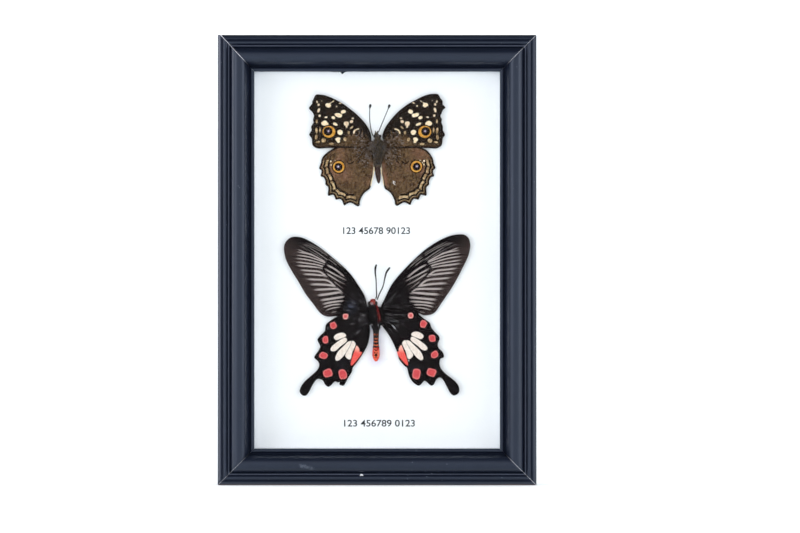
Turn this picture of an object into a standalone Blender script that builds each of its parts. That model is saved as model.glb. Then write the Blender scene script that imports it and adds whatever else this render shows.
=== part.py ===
"""Two set butterflies in a shallow box frame, built as the separate pieces it comes apart into.

Metres, +Z up. The frame stands on its bottom rail and faces -Y, with X to the right. The origin is
the middle of the footprint. Depths are given as a height h above the plane of the frame's back, so
a point at height h sits at y = FRAME_DEPTH / 2 - h.
"""
import math

import bmesh
import bpy
import numpy as np

MM = 0.001

# Frame
FRAME_WIDTH = 124.5 * MM
FRAME_HEIGHT = 175.8 * MM
FRAME_DEPTH = 21.0 * MM
RAIL_WIDTH = 14.3 * MM
RABBET_START = 11.1 * MM  # outer edge to rabbet wall
LEDGE_HEIGHT = 13.8 * MM  # back plane to rabbet ledge
GAP = 0.3 * MM  # left between pieces that touch

# The stack behind the lip, as (back height, front height)
SHEET_WIDTH = 101.6 * MM
SHEET_HEIGHT = 152.4 * MM
GLASS_STACK = (11.5 * MM, 13.5 * MM)
SPACER_STACK = (6.7 * MM, 11.2 * MM)
BOARD_STACK = (4.9 * MM, 6.4 * MM)
PANEL_STACK = (2.4 * MM, 4.6 * MM)
SPACER_WIDTH = 2.5 * MM
SHEET_BEVEL = 0.25 * MM

# Back fittings
POINT_LENGTH = 6.5 * MM
POINT_WIDTH = 5.0 * MM
POINT_THICKNESS = 0.4 * MM
POINT_SPREAD = 45.0 * MM  # side points, above and below the middle
HANGER_WIDTH = 40.0 * MM
HANGER_HEIGHT = 7.5 * MM
HANGER_THICKNESS = 0.7 * MM
HANGER_RISE = 0.8 * MM  # middle of the bar above its ends
HANGER_DROP = 24.0 * MM  # frame's top edge to the middle of the hanger
HANGER_TEETH = 9
TOOTH_DEPTH = 1.4 * MM
TOOTH_SPAN = 22.0 * MM
RIVET_SPREAD = 16.8 * MM
RIVET_HEAD_RADIUS = 1.7 * MM
RIVET_SHANK_RADIUS = 0.8 * MM
RIVET_HOLE_RADIUS = 1.15 * MM

# Specimens
UPPER_CENTRE = (0.0, 132.35 * MM)
LOWER_CENTRE = (-0.25 * MM, 66.4 * MM)
WING_THICKNESS = 0.2 * MM
UNDER_WING_HEIGHT = 7.0 * MM  # back of the wing that lies against the board
OVER_WING_HEIGHT = 7.6 * MM  # back of the wing that overlaps it
BODY_HEIGHT = 8.6 * MM
ANTENNA_HEIGHT = 9.2 * MM
BODY_SIDES = 12
ANTENNA_SIDES = 6


def depth(height):
    """y of a point at a height above the back plane."""
    return FRAME_DEPTH / 2 - height


# ---------------------------------------------------------------- helpers


def clear_scene():
    for item in list(bpy.data.objects):
        bpy.data.objects.remove(item, do_unlink=True)


def material(name, colour, roughness, metallic=0.0, transmission=0.0):
    made = bpy.data.materials.new(name)
    made.use_nodes = True
    shader = made.node_tree.nodes["Principled BSDF"]
    shader.inputs["Base Color"].default_value = (*colour, 1.0)
    shader.inputs["Roughness"].default_value = roughness
    shader.inputs["Metallic"].default_value = metallic
    shader.inputs["Transmission Weight"].default_value = transmission
    return made


def add_object(name, bm, finish, smooth_angle=None):
    """Closes off a bmesh as one named object with its faces pointing out."""
    bmesh.ops.recalc_face_normals(bm, faces=bm.faces)
    mesh = bpy.data.meshes.new(name)
    bm.to_mesh(mesh)
    bm.free()
    mesh.materials.append(finish)
    if smooth_angle is not None:
        mesh.shade_smooth()
        mesh.set_sharp_from_angle(angle=math.radians(smooth_angle))
    made = bpy.data.objects.new(name, mesh)
    bpy.context.scene.collection.objects.link(made)
    return made


def arc(centre, radius, start, end, steps):
    """Points on a circle, angles in degrees."""
    angles = [math.radians(start + (end - start) * i / steps) for i in range(steps + 1)]
    return [(centre[0] + radius * math.cos(a), centre[1] + radius * math.sin(a)) for a in angles]


def ellipse_arc(centre, across, up, start, end, steps):
    """Points on an ellipse, angles in degrees."""
    unit = arc((0, 0), 1, start, end, steps)
    return [(centre[0] + across * c, centre[1] + up * s) for c, s in unit]


def through(points, steps, closed=False):
    """A smooth line through hand-set points (Catmull-Rom), with steps stretches between each two."""
    given = np.array(points, float)
    if closed:
        padded = np.vstack([given[-1], given, given[:2]])
    else:
        first = 2 * given[0] - given[1]
        last = 2 * given[-1] - given[-2]
        padded = np.vstack([first, given, last])
    line = []
    for a, b, c, d in zip(padded, padded[1:], padded[2:], padded[3:]):
        for i in range(steps):
            t = i / steps
            bend = 2 * b + (c - a) * t + (2 * a - 5 * b + 4 * c - d) * t**2
            line.append((bend + (3 * b - a - 3 * c + d) * t**3) / 2)
    if not closed:
        line.append(given[-1])
    return np.array(line)


def loft(bm, rings):
    """Joins equal rings of points into a tube and caps both ends."""
    made = [[bm.verts.new(p) for p in ring] for ring in rings]
    for low, high in zip(made, made[1:]):
        for i in range(len(low)):
            j = (i + 1) % len(low)
            bm.faces.new((low[i], low[j], high[j], high[i]))
    bm.faces.new(made[0])
    bm.faces.new(list(reversed(made[-1])))


def plate(bm, outline, back, front):
    """A flat plate facing -Y from an outline of (x, z) points, between two heights."""
    loft(bm, [[(x, depth(h), z) for x, z in outline] for h in (back, front)])


# ---------------------------------------------------------------- frame


def moulding_profile():
    """The rail's section as (in from the outer edge, height above the back), in millimetres."""
    chamfer = [(0.0, 16.2), (0.35, 16.75), (1.0, 17.6), (1.3, 17.85), (1.6, 17.7), (1.85, 17.4)]
    fine_bead = [(2.1, 17.55), (2.4, 18.15), (2.9, 18.5), (3.6, 18.3), (4.1, 17.5)]
    quirk = [(4.75, 17.35), (5.1, 16.9)]
    hump = ellipse_arc((8.4, 17.2), 3.2, 3.8, 170, 30, 14)
    groove = [(11.7, 17.2), (12.4, 14.95), (13.1, 15.7)]
    lip = [(14.1, 15.6), (RAIL_WIDTH / MM, 15.3), (RAIL_WIDTH / MM, LEDGE_HEIGHT / MM)]
    rabbet = [(RABBET_START / MM, LEDGE_HEIGHT / MM), (RABBET_START / MM, 0.0)]
    return [(0.0, 0.0)] + chamfer + fine_bead + quirk + hump + groove + lip + rabbet


def add_rail(name, side, finish):
    """One mitred length of moulding; both ends are cut at 45 degrees just short of the corner."""
    half = (FRAME_WIDTH if side in ("top", "bottom") else FRAME_HEIGHT) / 2
    cut_back = GAP / math.sqrt(2)
    middle = FRAME_HEIGHT / 2
    rings = []
    for end in (-1, 1):
        ring = []
        for across, height in moulding_profile():
            inward = across * MM
            along = end * (half - inward - cut_back)
            x, z = {
                "bottom": (along, inward),
                "top": (along, FRAME_HEIGHT - inward),
                "left": (inward - FRAME_WIDTH / 2, middle + along),
                "right": (FRAME_WIDTH / 2 - inward, middle + along),
            }[side]
            ring.append((x, depth(height * MM), z))
        rings.append(ring)
    bm = bmesh.new()
    loft(bm, rings)
    return add_object(name, bm, finish, smooth_angle=40)


def add_sheet(name, width, height, stack, finish, centre=(0.0, FRAME_HEIGHT / 2)):
    """A rectangular sheet or strip with its edges just broken."""
    bm = bmesh.new()
    cx, cz = centre
    corners = [(-width / 2, -height / 2), (width / 2, -height / 2)]
    corners += [(-x, -z) for x, z in corners]
    plate(bm, [(cx + x, cz + z) for x, z in corners], *stack)
    bmesh.ops.bevel(bm, geom=bm.edges[:], offset=SHEET_BEVEL, segments=1, affect="EDGES")
    return add_object(name, bm, finish)


def add_spacers(finish):
    """White strips that hold the glass off the wings: two full width, two between them."""
    edge = SHEET_HEIGHT / 2 - SPACER_WIDTH / 2
    side = SHEET_WIDTH / 2 - SPACER_WIDTH / 2
    middle = FRAME_HEIGHT / 2
    upright = SHEET_HEIGHT - 2 * SPACER_WIDTH - 2 * GAP
    for name, cz in (("spacer_top", middle + edge), ("spacer_bottom", middle - edge)):
        add_sheet(name, SHEET_WIDTH, SPACER_WIDTH, SPACER_STACK, finish, (0.0, cz))
    for name, cx in (("spacer_left", -side), ("spacer_right", side)):
        add_sheet(name, SPACER_WIDTH, upright, SPACER_STACK, finish, (cx, middle))


# ---------------------------------------------------------------- back fittings


def add_point(name, foot, inward, finish):
    """A flat retaining point: a tongue with a rounded end, pressed down over the back panel."""
    half = POINT_WIDTH / 2
    tip = arc((POINT_LENGTH - half, 0), half, -90, 90, 6)
    outline = [(0.0, -half)] + tip + [(0.0, half)]
    ux, uz = inward
    placed = [(foot[0] + a * ux - b * uz, foot[1] + a * uz + b * ux) for a, b in outline]
    front = PANEL_STACK[0] - GAP
    bm = bmesh.new()
    plate(bm, placed, front - POINT_THICKNESS, front)
    return add_object(name, bm, finish, smooth_angle=40)


def add_points(finish):
    """Six points: two on each long side and one at each end."""
    x = FRAME_WIDTH / 2 - RABBET_START - GAP
    z = FRAME_HEIGHT / 2 - RABBET_START - GAP
    middle = FRAME_HEIGHT / 2
    add_point("point_top", (0.0, middle + z), (0, -1), finish)
    add_point("point_bottom", (0.0, middle - z), (0, 1), finish)
    for level, rise in (("upper", POINT_SPREAD), ("lower", -POINT_SPREAD)):
        add_point(f"point_left_{level}", (-x, middle + rise), (1, 0), finish)
        add_point(f"point_right_{level}", (x, middle + rise), (-1, 0), finish)


def hanger_stations():
    """(x, lower edge, rise) along the hanger: flat ends, a raised middle and a toothed lower edge."""
    half = HANGER_WIDTH / 2
    corner = 1.2 * MM
    stations = [(-half, corner, 0.0), (-half + corner, 0.0, 0.0), (-TOOTH_SPAN / 2 - 2.5 * MM, 0.0, 0.0)]
    for i in range(2 * HANGER_TEETH + 1):
        x = -TOOTH_SPAN / 2 + TOOTH_SPAN * i / (2 * HANGER_TEETH)
        stations.append((x, TOOTH_DEPTH if i % 2 else 0.0, HANGER_RISE))
    mirrored = [(-x, cut, rise) for x, cut, rise in reversed(stations[:3])]
    return stations + mirrored


def add_hanger(finish):
    """The saw-tooth hanger: a bar bent up in the middle so that a nail head fits behind it."""
    middle = FRAME_HEIGHT - HANGER_DROP
    seat = PANEL_STACK[0] - GAP
    rings = []
    for x, cut, rise in hanger_stations():
        top_cut = cut if abs(x) > HANGER_WIDTH / 2 - 1.0 * MM else 0.0
        low = middle - HANGER_HEIGHT / 2 + cut
        high = middle + HANGER_HEIGHT / 2 - top_cut
        front = depth(seat - rise)
        back = front + HANGER_THICKNESS
        rings.append([(x, front, low), (x, back, low), (x, back, high), (x, front, high)])
    bm = bmesh.new()
    loft(bm, rings)
    return add_object("hanger", bm, finish, smooth_angle=30)


def lathe_rings(centre, profile, sides):
    """Rings about an axis along Y from (radius, y) pairs."""
    turn = [2 * math.pi * i / sides for i in range(sides)]
    return [[(centre[0] + r * math.cos(a), y, centre[1] + r * math.sin(a)) for a in turn] for r, y in profile]


def add_rivet(name, x, finish):
    """A round-headed rivet through the end of the hanger into the back panel."""
    seat = depth(PANEL_STACK[0] - GAP - HANGER_THICKNESS - GAP)
    foot = depth(PANEL_STACK[0] + 1.5 * MM)
    head = RIVET_HEAD_RADIUS
    profile = [
        (RIVET_SHANK_RADIUS, foot),
        (RIVET_SHANK_RADIUS, seat),
        (head, seat),
        (head * 0.9, seat + 0.3 * MM),
        (head * 0.55, seat + 0.5 * MM),
    ]
    bm = bmesh.new()
    loft(bm, lathe_rings((x, FRAME_HEIGHT - HANGER_DROP), profile, 16))
    return add_object(name, bm, finish, smooth_angle=40)


def drill_rivet_holes(targets):
    """Cuts the rivet holes through the hanger's ends and into the back panel."""
    bottom = depth(PANEL_STACK[0] + 1.8 * MM)
    top = depth(0.0)
    for side in (-1, 1):
        profile = [(RIVET_HOLE_RADIUS, bottom), (RIVET_HOLE_RADIUS, top)]
        bm = bmesh.new()
        loft(bm, lathe_rings((side * RIVET_SPREAD, FRAME_HEIGHT - HANGER_DROP), profile, 12))
        cutter = add_object(f"rivet_hole_cutter_{side}", bm, targets[0].data.materials[0])
        cutter.hide_render = True
        cutter.display_type = "WIRE"
        for target in targets:
            cut = target.modifiers.new("rivet hole", "BOOLEAN")
            cut.operation = "DIFFERENCE"
            cut.object = cutter


# ---------------------------------------------------------------- specimens

# Wing outlines in millimetres from the specimen's centre, (across, up), seen from the front.
# Each starts at the leading edge beside the thorax and runs round the tip back to it.
UPPER_FOREWING_LEFT = [
    (-2.3, 3.9), (-2.7, 5.7), (-3.8, 7.9), (-5.6, 10.3), (-8.2, 12.9), (-11.2, 15.3), (-13.7, 17.1),
    (-16.2, 18.5), (-18.2, 19.4), (-20.4, 20.2), (-22.3, 20.5), (-24.1, 20.4), (-25.0, 18.7),
    (-25.5, 17.7), (-25.5, 16.9), (-26.8, 15.2), (-25.7, 13.9), (-24.8, 12.3), (-25.2, 10.7),
    (-25.0, 9.5), (-25.9, 7.9), (-25.7, 6.5), (-26.7, 4.8), (-25.7, 3.3), (-25.5, 1.1), (-24.6, -0.1),
    (-22.8, -0.7), (-19.9, -0.5), (-17.0, -0.4), (-11.0, -0.5), (-6.0, -0.6), (-2.7, -0.5), (-2.3, 1.5),
]
UPPER_FOREWING_RIGHT = [
    (2.0, 3.8), (2.5, 6.1), (3.8, 8.6), (6.4, 11.9), (9.0, 14.5), (12.4, 17.0), (15.1, 18.4),
    (17.8, 19.8), (20.4, 20.6), (22.2, 20.8), (23.9, 20.6), (24.8, 19.1), (25.7, 17.9), (25.7, 16.6),
    (26.8, 15.4), (25.8, 14.5), (25.3, 13.1), (24.8, 12.0), (25.4, 10.8), (25.2, 9.6), (25.8, 8.0),
    (25.8, 6.5), (26.6, 4.7), (25.7, 3.3), (25.4, 0.9), (24.3, -0.2), (22.7, -0.7), (19.5, -0.5),
    (12.0, -0.5), (7.0, -0.6), (3.5, -0.5), (3.2, 1.0), (2.6, 2.4),
]
UPPER_HINDWING_LEFT = [
    (-2.2, 0.8), (-7.0, 1.3), (-12.0, 1.0), (-15.0, 0.3), (-17.0, -0.5), (-19.3, -1.9), (-21.2, -3.7),
    (-21.9, -5.1), (-22.1, -6.4), (-22.8, -8.4), (-22.0, -9.1), (-21.9, -10.0), (-22.2, -11.5),
    (-21.0, -12.0), (-20.3, -13.5), (-20.3, -14.8), (-19.3, -15.7), (-19.2, -17.0), (-19.4, -18.5),
    (-19.0, -19.2), (-17.3, -18.8), (-16.6, -19.9), (-16.2, -20.7), (-14.5, -20.5), (-13.6, -21.5),
    (-13.0, -23.0), (-12.0, -22.4), (-10.6, -21.9), (-9.3, -22.4), (-7.8, -23.3), (-6.9, -22.9),
    (-6.8, -21.4), (-5.9, -19.3), (-4.6, -17.7), (-3.1, -16.6), (-2.4, -15.3), (-1.9, -13.1),
    (-1.4, -10.9), (-0.9, -8.6), (-1.0, -6.0), (-1.5, -3.0), (-1.9, -0.8),
]
UPPER_HINDWING_RIGHT = [
    (3.0, 0.8), (7.0, 1.3), (12.0, 1.0), (15.5, 0.3), (19.3, -1.2), (21.2, -3.4), (22.0, -5.1),
    (22.2, -6.4), (22.9, -8.2), (22.1, -9.1), (22.0, -10.0), (22.3, -11.5), (21.1, -12.0),
    (20.4, -13.5), (20.4, -14.8), (19.4, -15.7), (19.3, -17.0), (19.4, -18.5), (19.0, -19.2),
    (17.3, -18.8), (16.6, -19.9), (16.1, -20.7), (14.5, -20.4), (13.6, -21.4), (13.0, -22.8),
    (12.0, -22.3), (10.7, -21.8), (9.4, -22.3), (7.9, -23.1), (7.0, -22.6), (6.9, -21.4), (6.5, -20.3),
    (5.4, -18.3), (4.0, -17.1), (3.1, -16.5), (2.4, -14.6), (2.0, -12.3), (1.4, -9.6), (1.3, -6.0),
    (2.0, -3.0), (2.6, -0.8),
]
LOWER_FOREWING_LEFT = [
    (-3.9, 4.6), (-4.8, 7.8), (-7.2, 11.7), (-9.8, 15.5), (-12.9, 18.8), (-17.0, 22.3), (-21.2, 25.7),
    (-25.0, 28.3), (-28.8, 30.2), (-31.7, 30.7), (-33.6, 30.4), (-35.2, 29.2), (-36.2, 27.4),
    (-36.3, 25.2), (-35.5, 21.6), (-33.6, 17.8), (-30.7, 13.1), (-27.9, 8.3), (-25.0, 4.5),
    (-23.1, 1.9), (-21.2, 0.0), (-18.8, -0.7), (-15.8, -0.5), (-10.0, -0.3), (-4.5, 0.0), (-3.7, 2.0),
]
LOWER_FOREWING_RIGHT = [
    (1.7, 3.2), (3.0, 6.0), (6.0, 12.0), (10.1, 17.0), (14.9, 21.9), (19.6, 26.0), (24.4, 29.1),
    (28.7, 31.0), (32.0, 31.6), (34.3, 31.5), (36.0, 30.3), (36.7, 28.4), (36.7, 26.2), (35.8, 22.6),
    (33.4, 17.7), (31.0, 13.1), (28.2, 8.6), (25.3, 4.4), (23.4, 1.5), (21.5, 0.2), (18.6, -0.2),
    (17.0, 0.5), (15.0, 0.3), (9.0, -0.3), (3.0, -0.3), (1.7, 1.2),
]
LOWER_HINDWING_LEFT = [
    (-4.1, 3.0), (-7.9, 1.6), (-10.7, 0.9), (-12.4, 1.0), (-13.9, 0.5), (-15.6, -0.6), (-18.2, -2.3),
    (-19.9, -3.9), (-20.3, -6.3), (-22.0, -8.0), (-23.2, -9.7), (-22.5, -11.3), (-22.1, -12.7),
    (-23.2, -14.6), (-24.4, -16.3), (-24.1, -17.2), (-23.0, -18.2), (-22.5, -19.6), (-23.2, -21.5),
    (-25.5, -23.7), (-28.4, -26.3), (-29.9, -28.7), (-30.1, -30.3), (-28.9, -31.6), (-27.5, -31.5),
    (-26.3, -29.8), (-25.1, -27.5), (-23.7, -25.5), (-22.5, -25.1), (-21.0, -25.8), (-20.3, -27.2),
    (-18.9, -28.2), (-17.5, -27.2), (-16.3, -26.1), (-15.3, -26.5), (-14.4, -26.3), (-14.6, -27.2),
    (-13.7, -27.7), (-12.7, -27.5), (-11.1, -24.6), (-9.6, -22.2), (-9.4, -20.8), (-7.5, -18.4),
    (-5.3, -15.1), (-3.7, -12.2), (-2.9, -9.4), (-2.5, -5.6), (-3.1, -3.0), (-3.7, 0.0),
]
LOWER_HINDWING_RIGHT = [
    (1.9, 1.6), (3.3, 3.0), (5.6, 3.1), (8.6, 2.5), (11.2, 1.9), (13.5, 1.6), (15.2, 1.6), (16.0, 0.9),
    (18.4, -1.3), (20.8, -3.0), (21.5, -4.9), (23.0, -6.8), (24.4, -8.2), (24.7, -9.6), (24.0, -11.3),
    (24.4, -13.0), (25.8, -14.4), (26.5, -16.1), (26.1, -16.8), (25.1, -17.2), (24.7, -18.9),
    (25.3, -21.0), (27.5, -23.4), (30.3, -25.5), (32.0, -27.5), (32.5, -29.4), (32.0, -30.8),
    (30.3, -31.6), (28.9, -30.6), (28.2, -29.4), (27.0, -27.0), (25.8, -25.1), (24.4, -24.6),
    (23.2, -25.8), (22.5, -27.2), (21.3, -27.7), (19.9, -26.5), (18.7, -25.9), (17.5, -27.2),
    (16.3, -27.7), (14.2, -26.3), (12.7, -23.7), (12.0, -20.8), (11.3, -20.3), (8.9, -17.5),
    (8.0, -14.4), (5.8, -9.6), (3.9, -6.6), (2.0, -3.9), (1.9, -1.0),
]

# Body stations in millimetres: (up, across, half width, half depth), head first
UPPER_BODY = [
    (5.6, -0.5, 0.25, 0.25), (5.2, -0.4, 0.6, 0.5), (4.4, 0.0, 1.2, 1.0), (3.6, 0.1, 1.35, 1.15),
    (3.0, 0.2, 1.15, 1.0), (2.0, 0.4, 1.9, 1.5), (0.2, 0.6, 2.3, 1.8), (-2.0, 0.7, 2.1, 1.7),
    (-3.9, 0.4, 1.3, 1.2), (-5.5, 0.1, 1.2, 1.15), (-8.0, 0.1, 1.15, 1.1), (-10.5, 0.3, 1.1, 1.05),
    (-12.8, 0.5, 0.85, 0.8), (-14.0, 0.6, 0.45, 0.4), (-14.4, 0.6, 0.2, 0.2),
]
LOWER_BODY = [
    (6.3, -1.2, 0.25, 0.25), (6.0, -1.3, 0.6, 0.5), (5.2, -1.4, 1.5, 1.1), (4.4, -1.5, 1.7, 1.2),
    (3.8, -1.4, 1.5, 1.1), (2.6, -1.1, 2.3, 1.6), (0.5, -0.8, 2.6, 1.9), (-1.8, -0.7, 2.5, 1.8),
    (-3.6, -0.4, 1.7, 1.4), (-5.0, -0.2, 1.3, 1.2), (-7.5, -0.2, 1.05, 1.05), (-11.0, -0.2, 1.0, 1.0),
    (-13.5, -0.2, 1.25, 1.15), (-15.8, -0.2, 1.35, 1.2), (-17.2, -0.2, 1.0, 0.9),
    (-18.0, -0.2, 0.5, 0.45), (-18.2, -0.2, 0.25, 0.25),
]

# Antenna centre lines in millimetres, and (share of length, radius) along them
UPPER_ANTENNAE = {
    "left": [(-1.7, 4.3), (-2.3, 6.2), (-2.9, 10.3), (-2.9, 14.6), (-2.6, 16.7)],
    "right": [(0.5, 5.7), (2.4, 10.3), (4.3, 14.8), (4.9, 16.6)],
}
LOWER_ANTENNAE = {
    "left": [(-0.4, 6.4), (0.0, 7.4), (-0.1, 10.6), (-0.2, 13.9), (-0.5, 16.6), (-0.4, 18.6), (0.0, 19.8)],
    "right": [(0.2, 5.9), (1.2, 8.4), (2.6, 11.4), (3.3, 14.7), (4.0, 16.9), (5.3, 18.7)],
}
UPPER_CLUB = [(0.0, 0.13), (0.84, 0.13), (0.92, 0.38), (0.98, 0.36), (1.0, 0.16)]
LOWER_CLUB = [(0.0, 0.14), (0.7, 0.16), (0.88, 0.28), (0.97, 0.28), (1.0, 0.14)]


def add_wing(name, centre, outline, back, finish):
    """A wing as a thin plate on its true outline."""
    line = through(outline, 2, closed=True) * MM + np.array(centre)
    bm = bmesh.new()
    plate(bm, [tuple(p) for p in line], back, back + WING_THICKNESS)
    return add_object(name, bm, finish)


def add_body(name, centre, stations, finish):
    """Head, thorax and abdomen as one grown piece: oval sections down its length."""
    turn = [2 * math.pi * i / BODY_SIDES for i in range(BODY_SIDES)]
    rings = []
    for up, across, wide, deep in stations:
        x, z = centre[0] + across * MM, centre[1] + up * MM
        y = depth(BODY_HEIGHT)
        rings.append([(x + wide * MM * math.cos(a), y + deep * MM * math.sin(a), z) for a in turn])
    bm = bmesh.new()
    loft(bm, rings)
    return add_object(name, bm, finish, smooth_angle=60)


def add_antenna(name, centre, points, club, finish):
    """A tapering feeler: round sections across a smooth line, thickest near the tip."""
    line = through(points, 3) * MM + np.array(centre)
    steps = np.linalg.norm(np.diff(line, axis=0), axis=1)
    along = np.concatenate([[0.0], np.cumsum(steps)]) / steps.sum()
    shares, radii = zip(*club)
    extra = [s for s in shares if not np.any(np.isclose(along, s, atol=0.01))]
    along_all = np.sort(np.concatenate([along, extra]))
    x = np.interp(along_all, along, line[:, 0])
    z = np.interp(along_all, along, line[:, 1])
    radius = np.interp(along_all, shares, radii) * MM
    slope = np.stack([np.gradient(x), np.gradient(z)], axis=1)
    slope /= np.linalg.norm(slope, axis=1, keepdims=True)
    rings = []
    for i in range(len(along_all)):
        ring = []
        for k in range(ANTENNA_SIDES):
            a = 2 * math.pi * k / ANTENNA_SIDES
            side = radius[i] * math.cos(a)
            px, pz = x[i] - slope[i, 1] * side, z[i] + slope[i, 0] * side
            ring.append((px, depth(ANTENNA_HEIGHT) + radius[i] * math.sin(a), pz))
        rings.append(ring)
    bm = bmesh.new()
    loft(bm, rings)
    return add_object(name, bm, finish, smooth_angle=60)


def add_specimen(name, centre, wings, heights, body, antennae, club, finishes):
    """One butterfly: four wings, a body and two antennae."""
    for wing, outline in wings.items():
        add_wing(f"{name}_{wing}", centre, outline, heights[wing.split("_")[0]], finishes["wing"])
    add_body(f"{name}_body", centre, body, finishes["body"])
    for side, points in antennae.items():
        add_antenna(f"{name}_antenna_{side}", centre, points, club, finishes["antenna"])


# ---------------------------------------------------------------- build


def build():
    clear_scene()
    lacquer = material("black lacquered wood", (0.022, 0.024, 0.032), 0.35)
    clear_glass = material("clear glass", (0.95, 0.98, 0.98), 0.02, transmission=1.0)
    white_card = material("white card", (0.88, 0.90, 0.92), 0.8)
    hardboard = material("brown hardboard", (0.22, 0.13, 0.07), 0.75)
    zinc = material("zinc plated steel", (0.62, 0.62, 0.60), 0.35, metallic=1.0)
    brown_wing = material("brown wing", (0.10, 0.07, 0.05), 0.75)
    black_wing = material("black wing", (0.015, 0.013, 0.016), 0.7)
    brown_body = material("brown body", (0.06, 0.05, 0.035), 0.9)
    red_body = material("black and red body", (0.18, 0.03, 0.02), 0.8)
    antenna = material("dark antenna", (0.03, 0.025, 0.025), 0.6)

    for side in ("top", "bottom", "left", "right"):
        add_rail(f"rail_{side}", side, lacquer)
    add_sheet("glass", SHEET_WIDTH, SHEET_HEIGHT, GLASS_STACK, clear_glass)
    add_spacers(white_card)
    add_sheet("mount_board", SHEET_WIDTH, SHEET_HEIGHT, BOARD_STACK, white_card)

    panel = add_sheet("back_panel", SHEET_WIDTH, SHEET_HEIGHT, PANEL_STACK, hardboard)
    add_points(zinc)
    hanger = add_hanger(zinc)
    drill_rivet_holes([hanger, panel])
    add_rivet("rivet_left", -RIVET_SPREAD, zinc)
    add_rivet("rivet_right", RIVET_SPREAD, zinc)

    add_specimen(
        "upper_butterfly",
        UPPER_CENTRE,
        {
            "forewing_left": UPPER_FOREWING_LEFT,
            "forewing_right": UPPER_FOREWING_RIGHT,
            "hindwing_left": UPPER_HINDWING_LEFT,
            "hindwing_right": UPPER_HINDWING_RIGHT,
        },
        {"forewing": OVER_WING_HEIGHT, "hindwing": UNDER_WING_HEIGHT},
        UPPER_BODY,
        UPPER_ANTENNAE,
        UPPER_CLUB,
        {"wing": brown_wing, "body": brown_body, "antenna": antenna},
    )
    add_specimen(
        "lower_butterfly",
        LOWER_CENTRE,
        {
            "forewing_left": LOWER_FOREWING_LEFT,
            "forewing_right": LOWER_FOREWING_RIGHT,
            "hindwing_left": LOWER_HINDWING_LEFT,
            "hindwing_right": LOWER_HINDWING_RIGHT,
        },
        {"forewing": UNDER_WING_HEIGHT, "hindwing": OVER_WING_HEIGHT},
        LOWER_BODY,
        LOWER_ANTENNAE,
        LOWER_CLUB,
        {"wing": black_wing, "body": red_body, "antenna": antenna},
    )


build()
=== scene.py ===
# %% [markdown]
# # Two set butterflies in a black box frame
#
# A small glazed box frame holds two spread butterflies on a white board. The solid pieces, with
# their sizes and places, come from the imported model. This notebook gives each one its finish and
# swaps the plain rails, wings, bodies and feelers for fine surfaces that fill the same places.
# Everything is in metres, with +Z up and the glass facing -Y.

# %% Load the frame
import math

import bpy
import numpy as np
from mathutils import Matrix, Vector


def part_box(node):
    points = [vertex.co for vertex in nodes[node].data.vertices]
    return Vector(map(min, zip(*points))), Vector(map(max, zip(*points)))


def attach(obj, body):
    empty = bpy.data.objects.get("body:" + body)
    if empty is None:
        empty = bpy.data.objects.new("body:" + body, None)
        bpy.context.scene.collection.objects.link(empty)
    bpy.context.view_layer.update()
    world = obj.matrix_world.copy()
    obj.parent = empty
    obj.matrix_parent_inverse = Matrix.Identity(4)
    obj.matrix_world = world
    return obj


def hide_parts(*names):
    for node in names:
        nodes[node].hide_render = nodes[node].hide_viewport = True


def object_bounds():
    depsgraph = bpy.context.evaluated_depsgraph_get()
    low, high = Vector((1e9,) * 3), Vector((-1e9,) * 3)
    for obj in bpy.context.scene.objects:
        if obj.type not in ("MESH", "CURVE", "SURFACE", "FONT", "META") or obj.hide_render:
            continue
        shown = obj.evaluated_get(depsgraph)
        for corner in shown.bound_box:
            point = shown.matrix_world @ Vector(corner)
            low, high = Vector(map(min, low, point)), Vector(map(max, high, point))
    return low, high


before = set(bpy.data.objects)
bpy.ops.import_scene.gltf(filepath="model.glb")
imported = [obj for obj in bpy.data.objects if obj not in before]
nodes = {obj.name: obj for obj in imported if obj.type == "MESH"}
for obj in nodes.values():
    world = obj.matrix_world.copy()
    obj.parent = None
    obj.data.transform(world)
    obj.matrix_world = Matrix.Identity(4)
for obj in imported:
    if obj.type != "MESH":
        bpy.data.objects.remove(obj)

cad_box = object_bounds()
MM = 0.001
print("pieces in the packed model:", len(nodes))

# %% [markdown]
# ## Measures taken from the model
#
# Depths are easiest to think of as heights above the plane of the frame's back. Reading the frame's
# size and the board's face from the model keeps every new surface in step with the solids.

# %% Driving measures
FRAME_LOW, FRAME_HIGH = cad_box
FRAME_WIDTH = (FRAME_HIGH.x - FRAME_LOW.x) / MM
FRAME_HEIGHT = (FRAME_HIGH.z - FRAME_LOW.z) / MM
BACK_PLANE = FRAME_HIGH.y
BOARD_FACE = (BACK_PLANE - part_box("mount_board")[0].y) / MM
UPPER_CENTRE = np.array([0.0, 132.35])
LOWER_CENTRE = np.array([-0.25, 66.4])


def in_metres(across, height, up):
    """Points in metres from millimetre arrays: across, height above the back plane, and up."""
    across, height, up = np.broadcast_arrays(across, height, up)
    return np.stack([across * MM, BACK_PLANE - height * MM, up * MM], axis=-1).reshape(-1, 3)


print(f"frame {FRAME_WIDTH:.1f} x {FRAME_HEIGHT:.1f} mm, board face {BOARD_FACE:.1f} mm above the back")

# %% [markdown]
# ## Meshes from whole arrays
#
# A surface here is a grid: two parameters run over rows and columns, and numpy works out all the
# points at once. Blender takes such arrays quickly with `foreach_set`. A closed shell has a signed
# volume, the sum over its triangles of a dot (b cross c), and a negative one means that it is inside
# out, so the faces are turned before the mesh is made.

# %% Grid and mesh helpers


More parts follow.
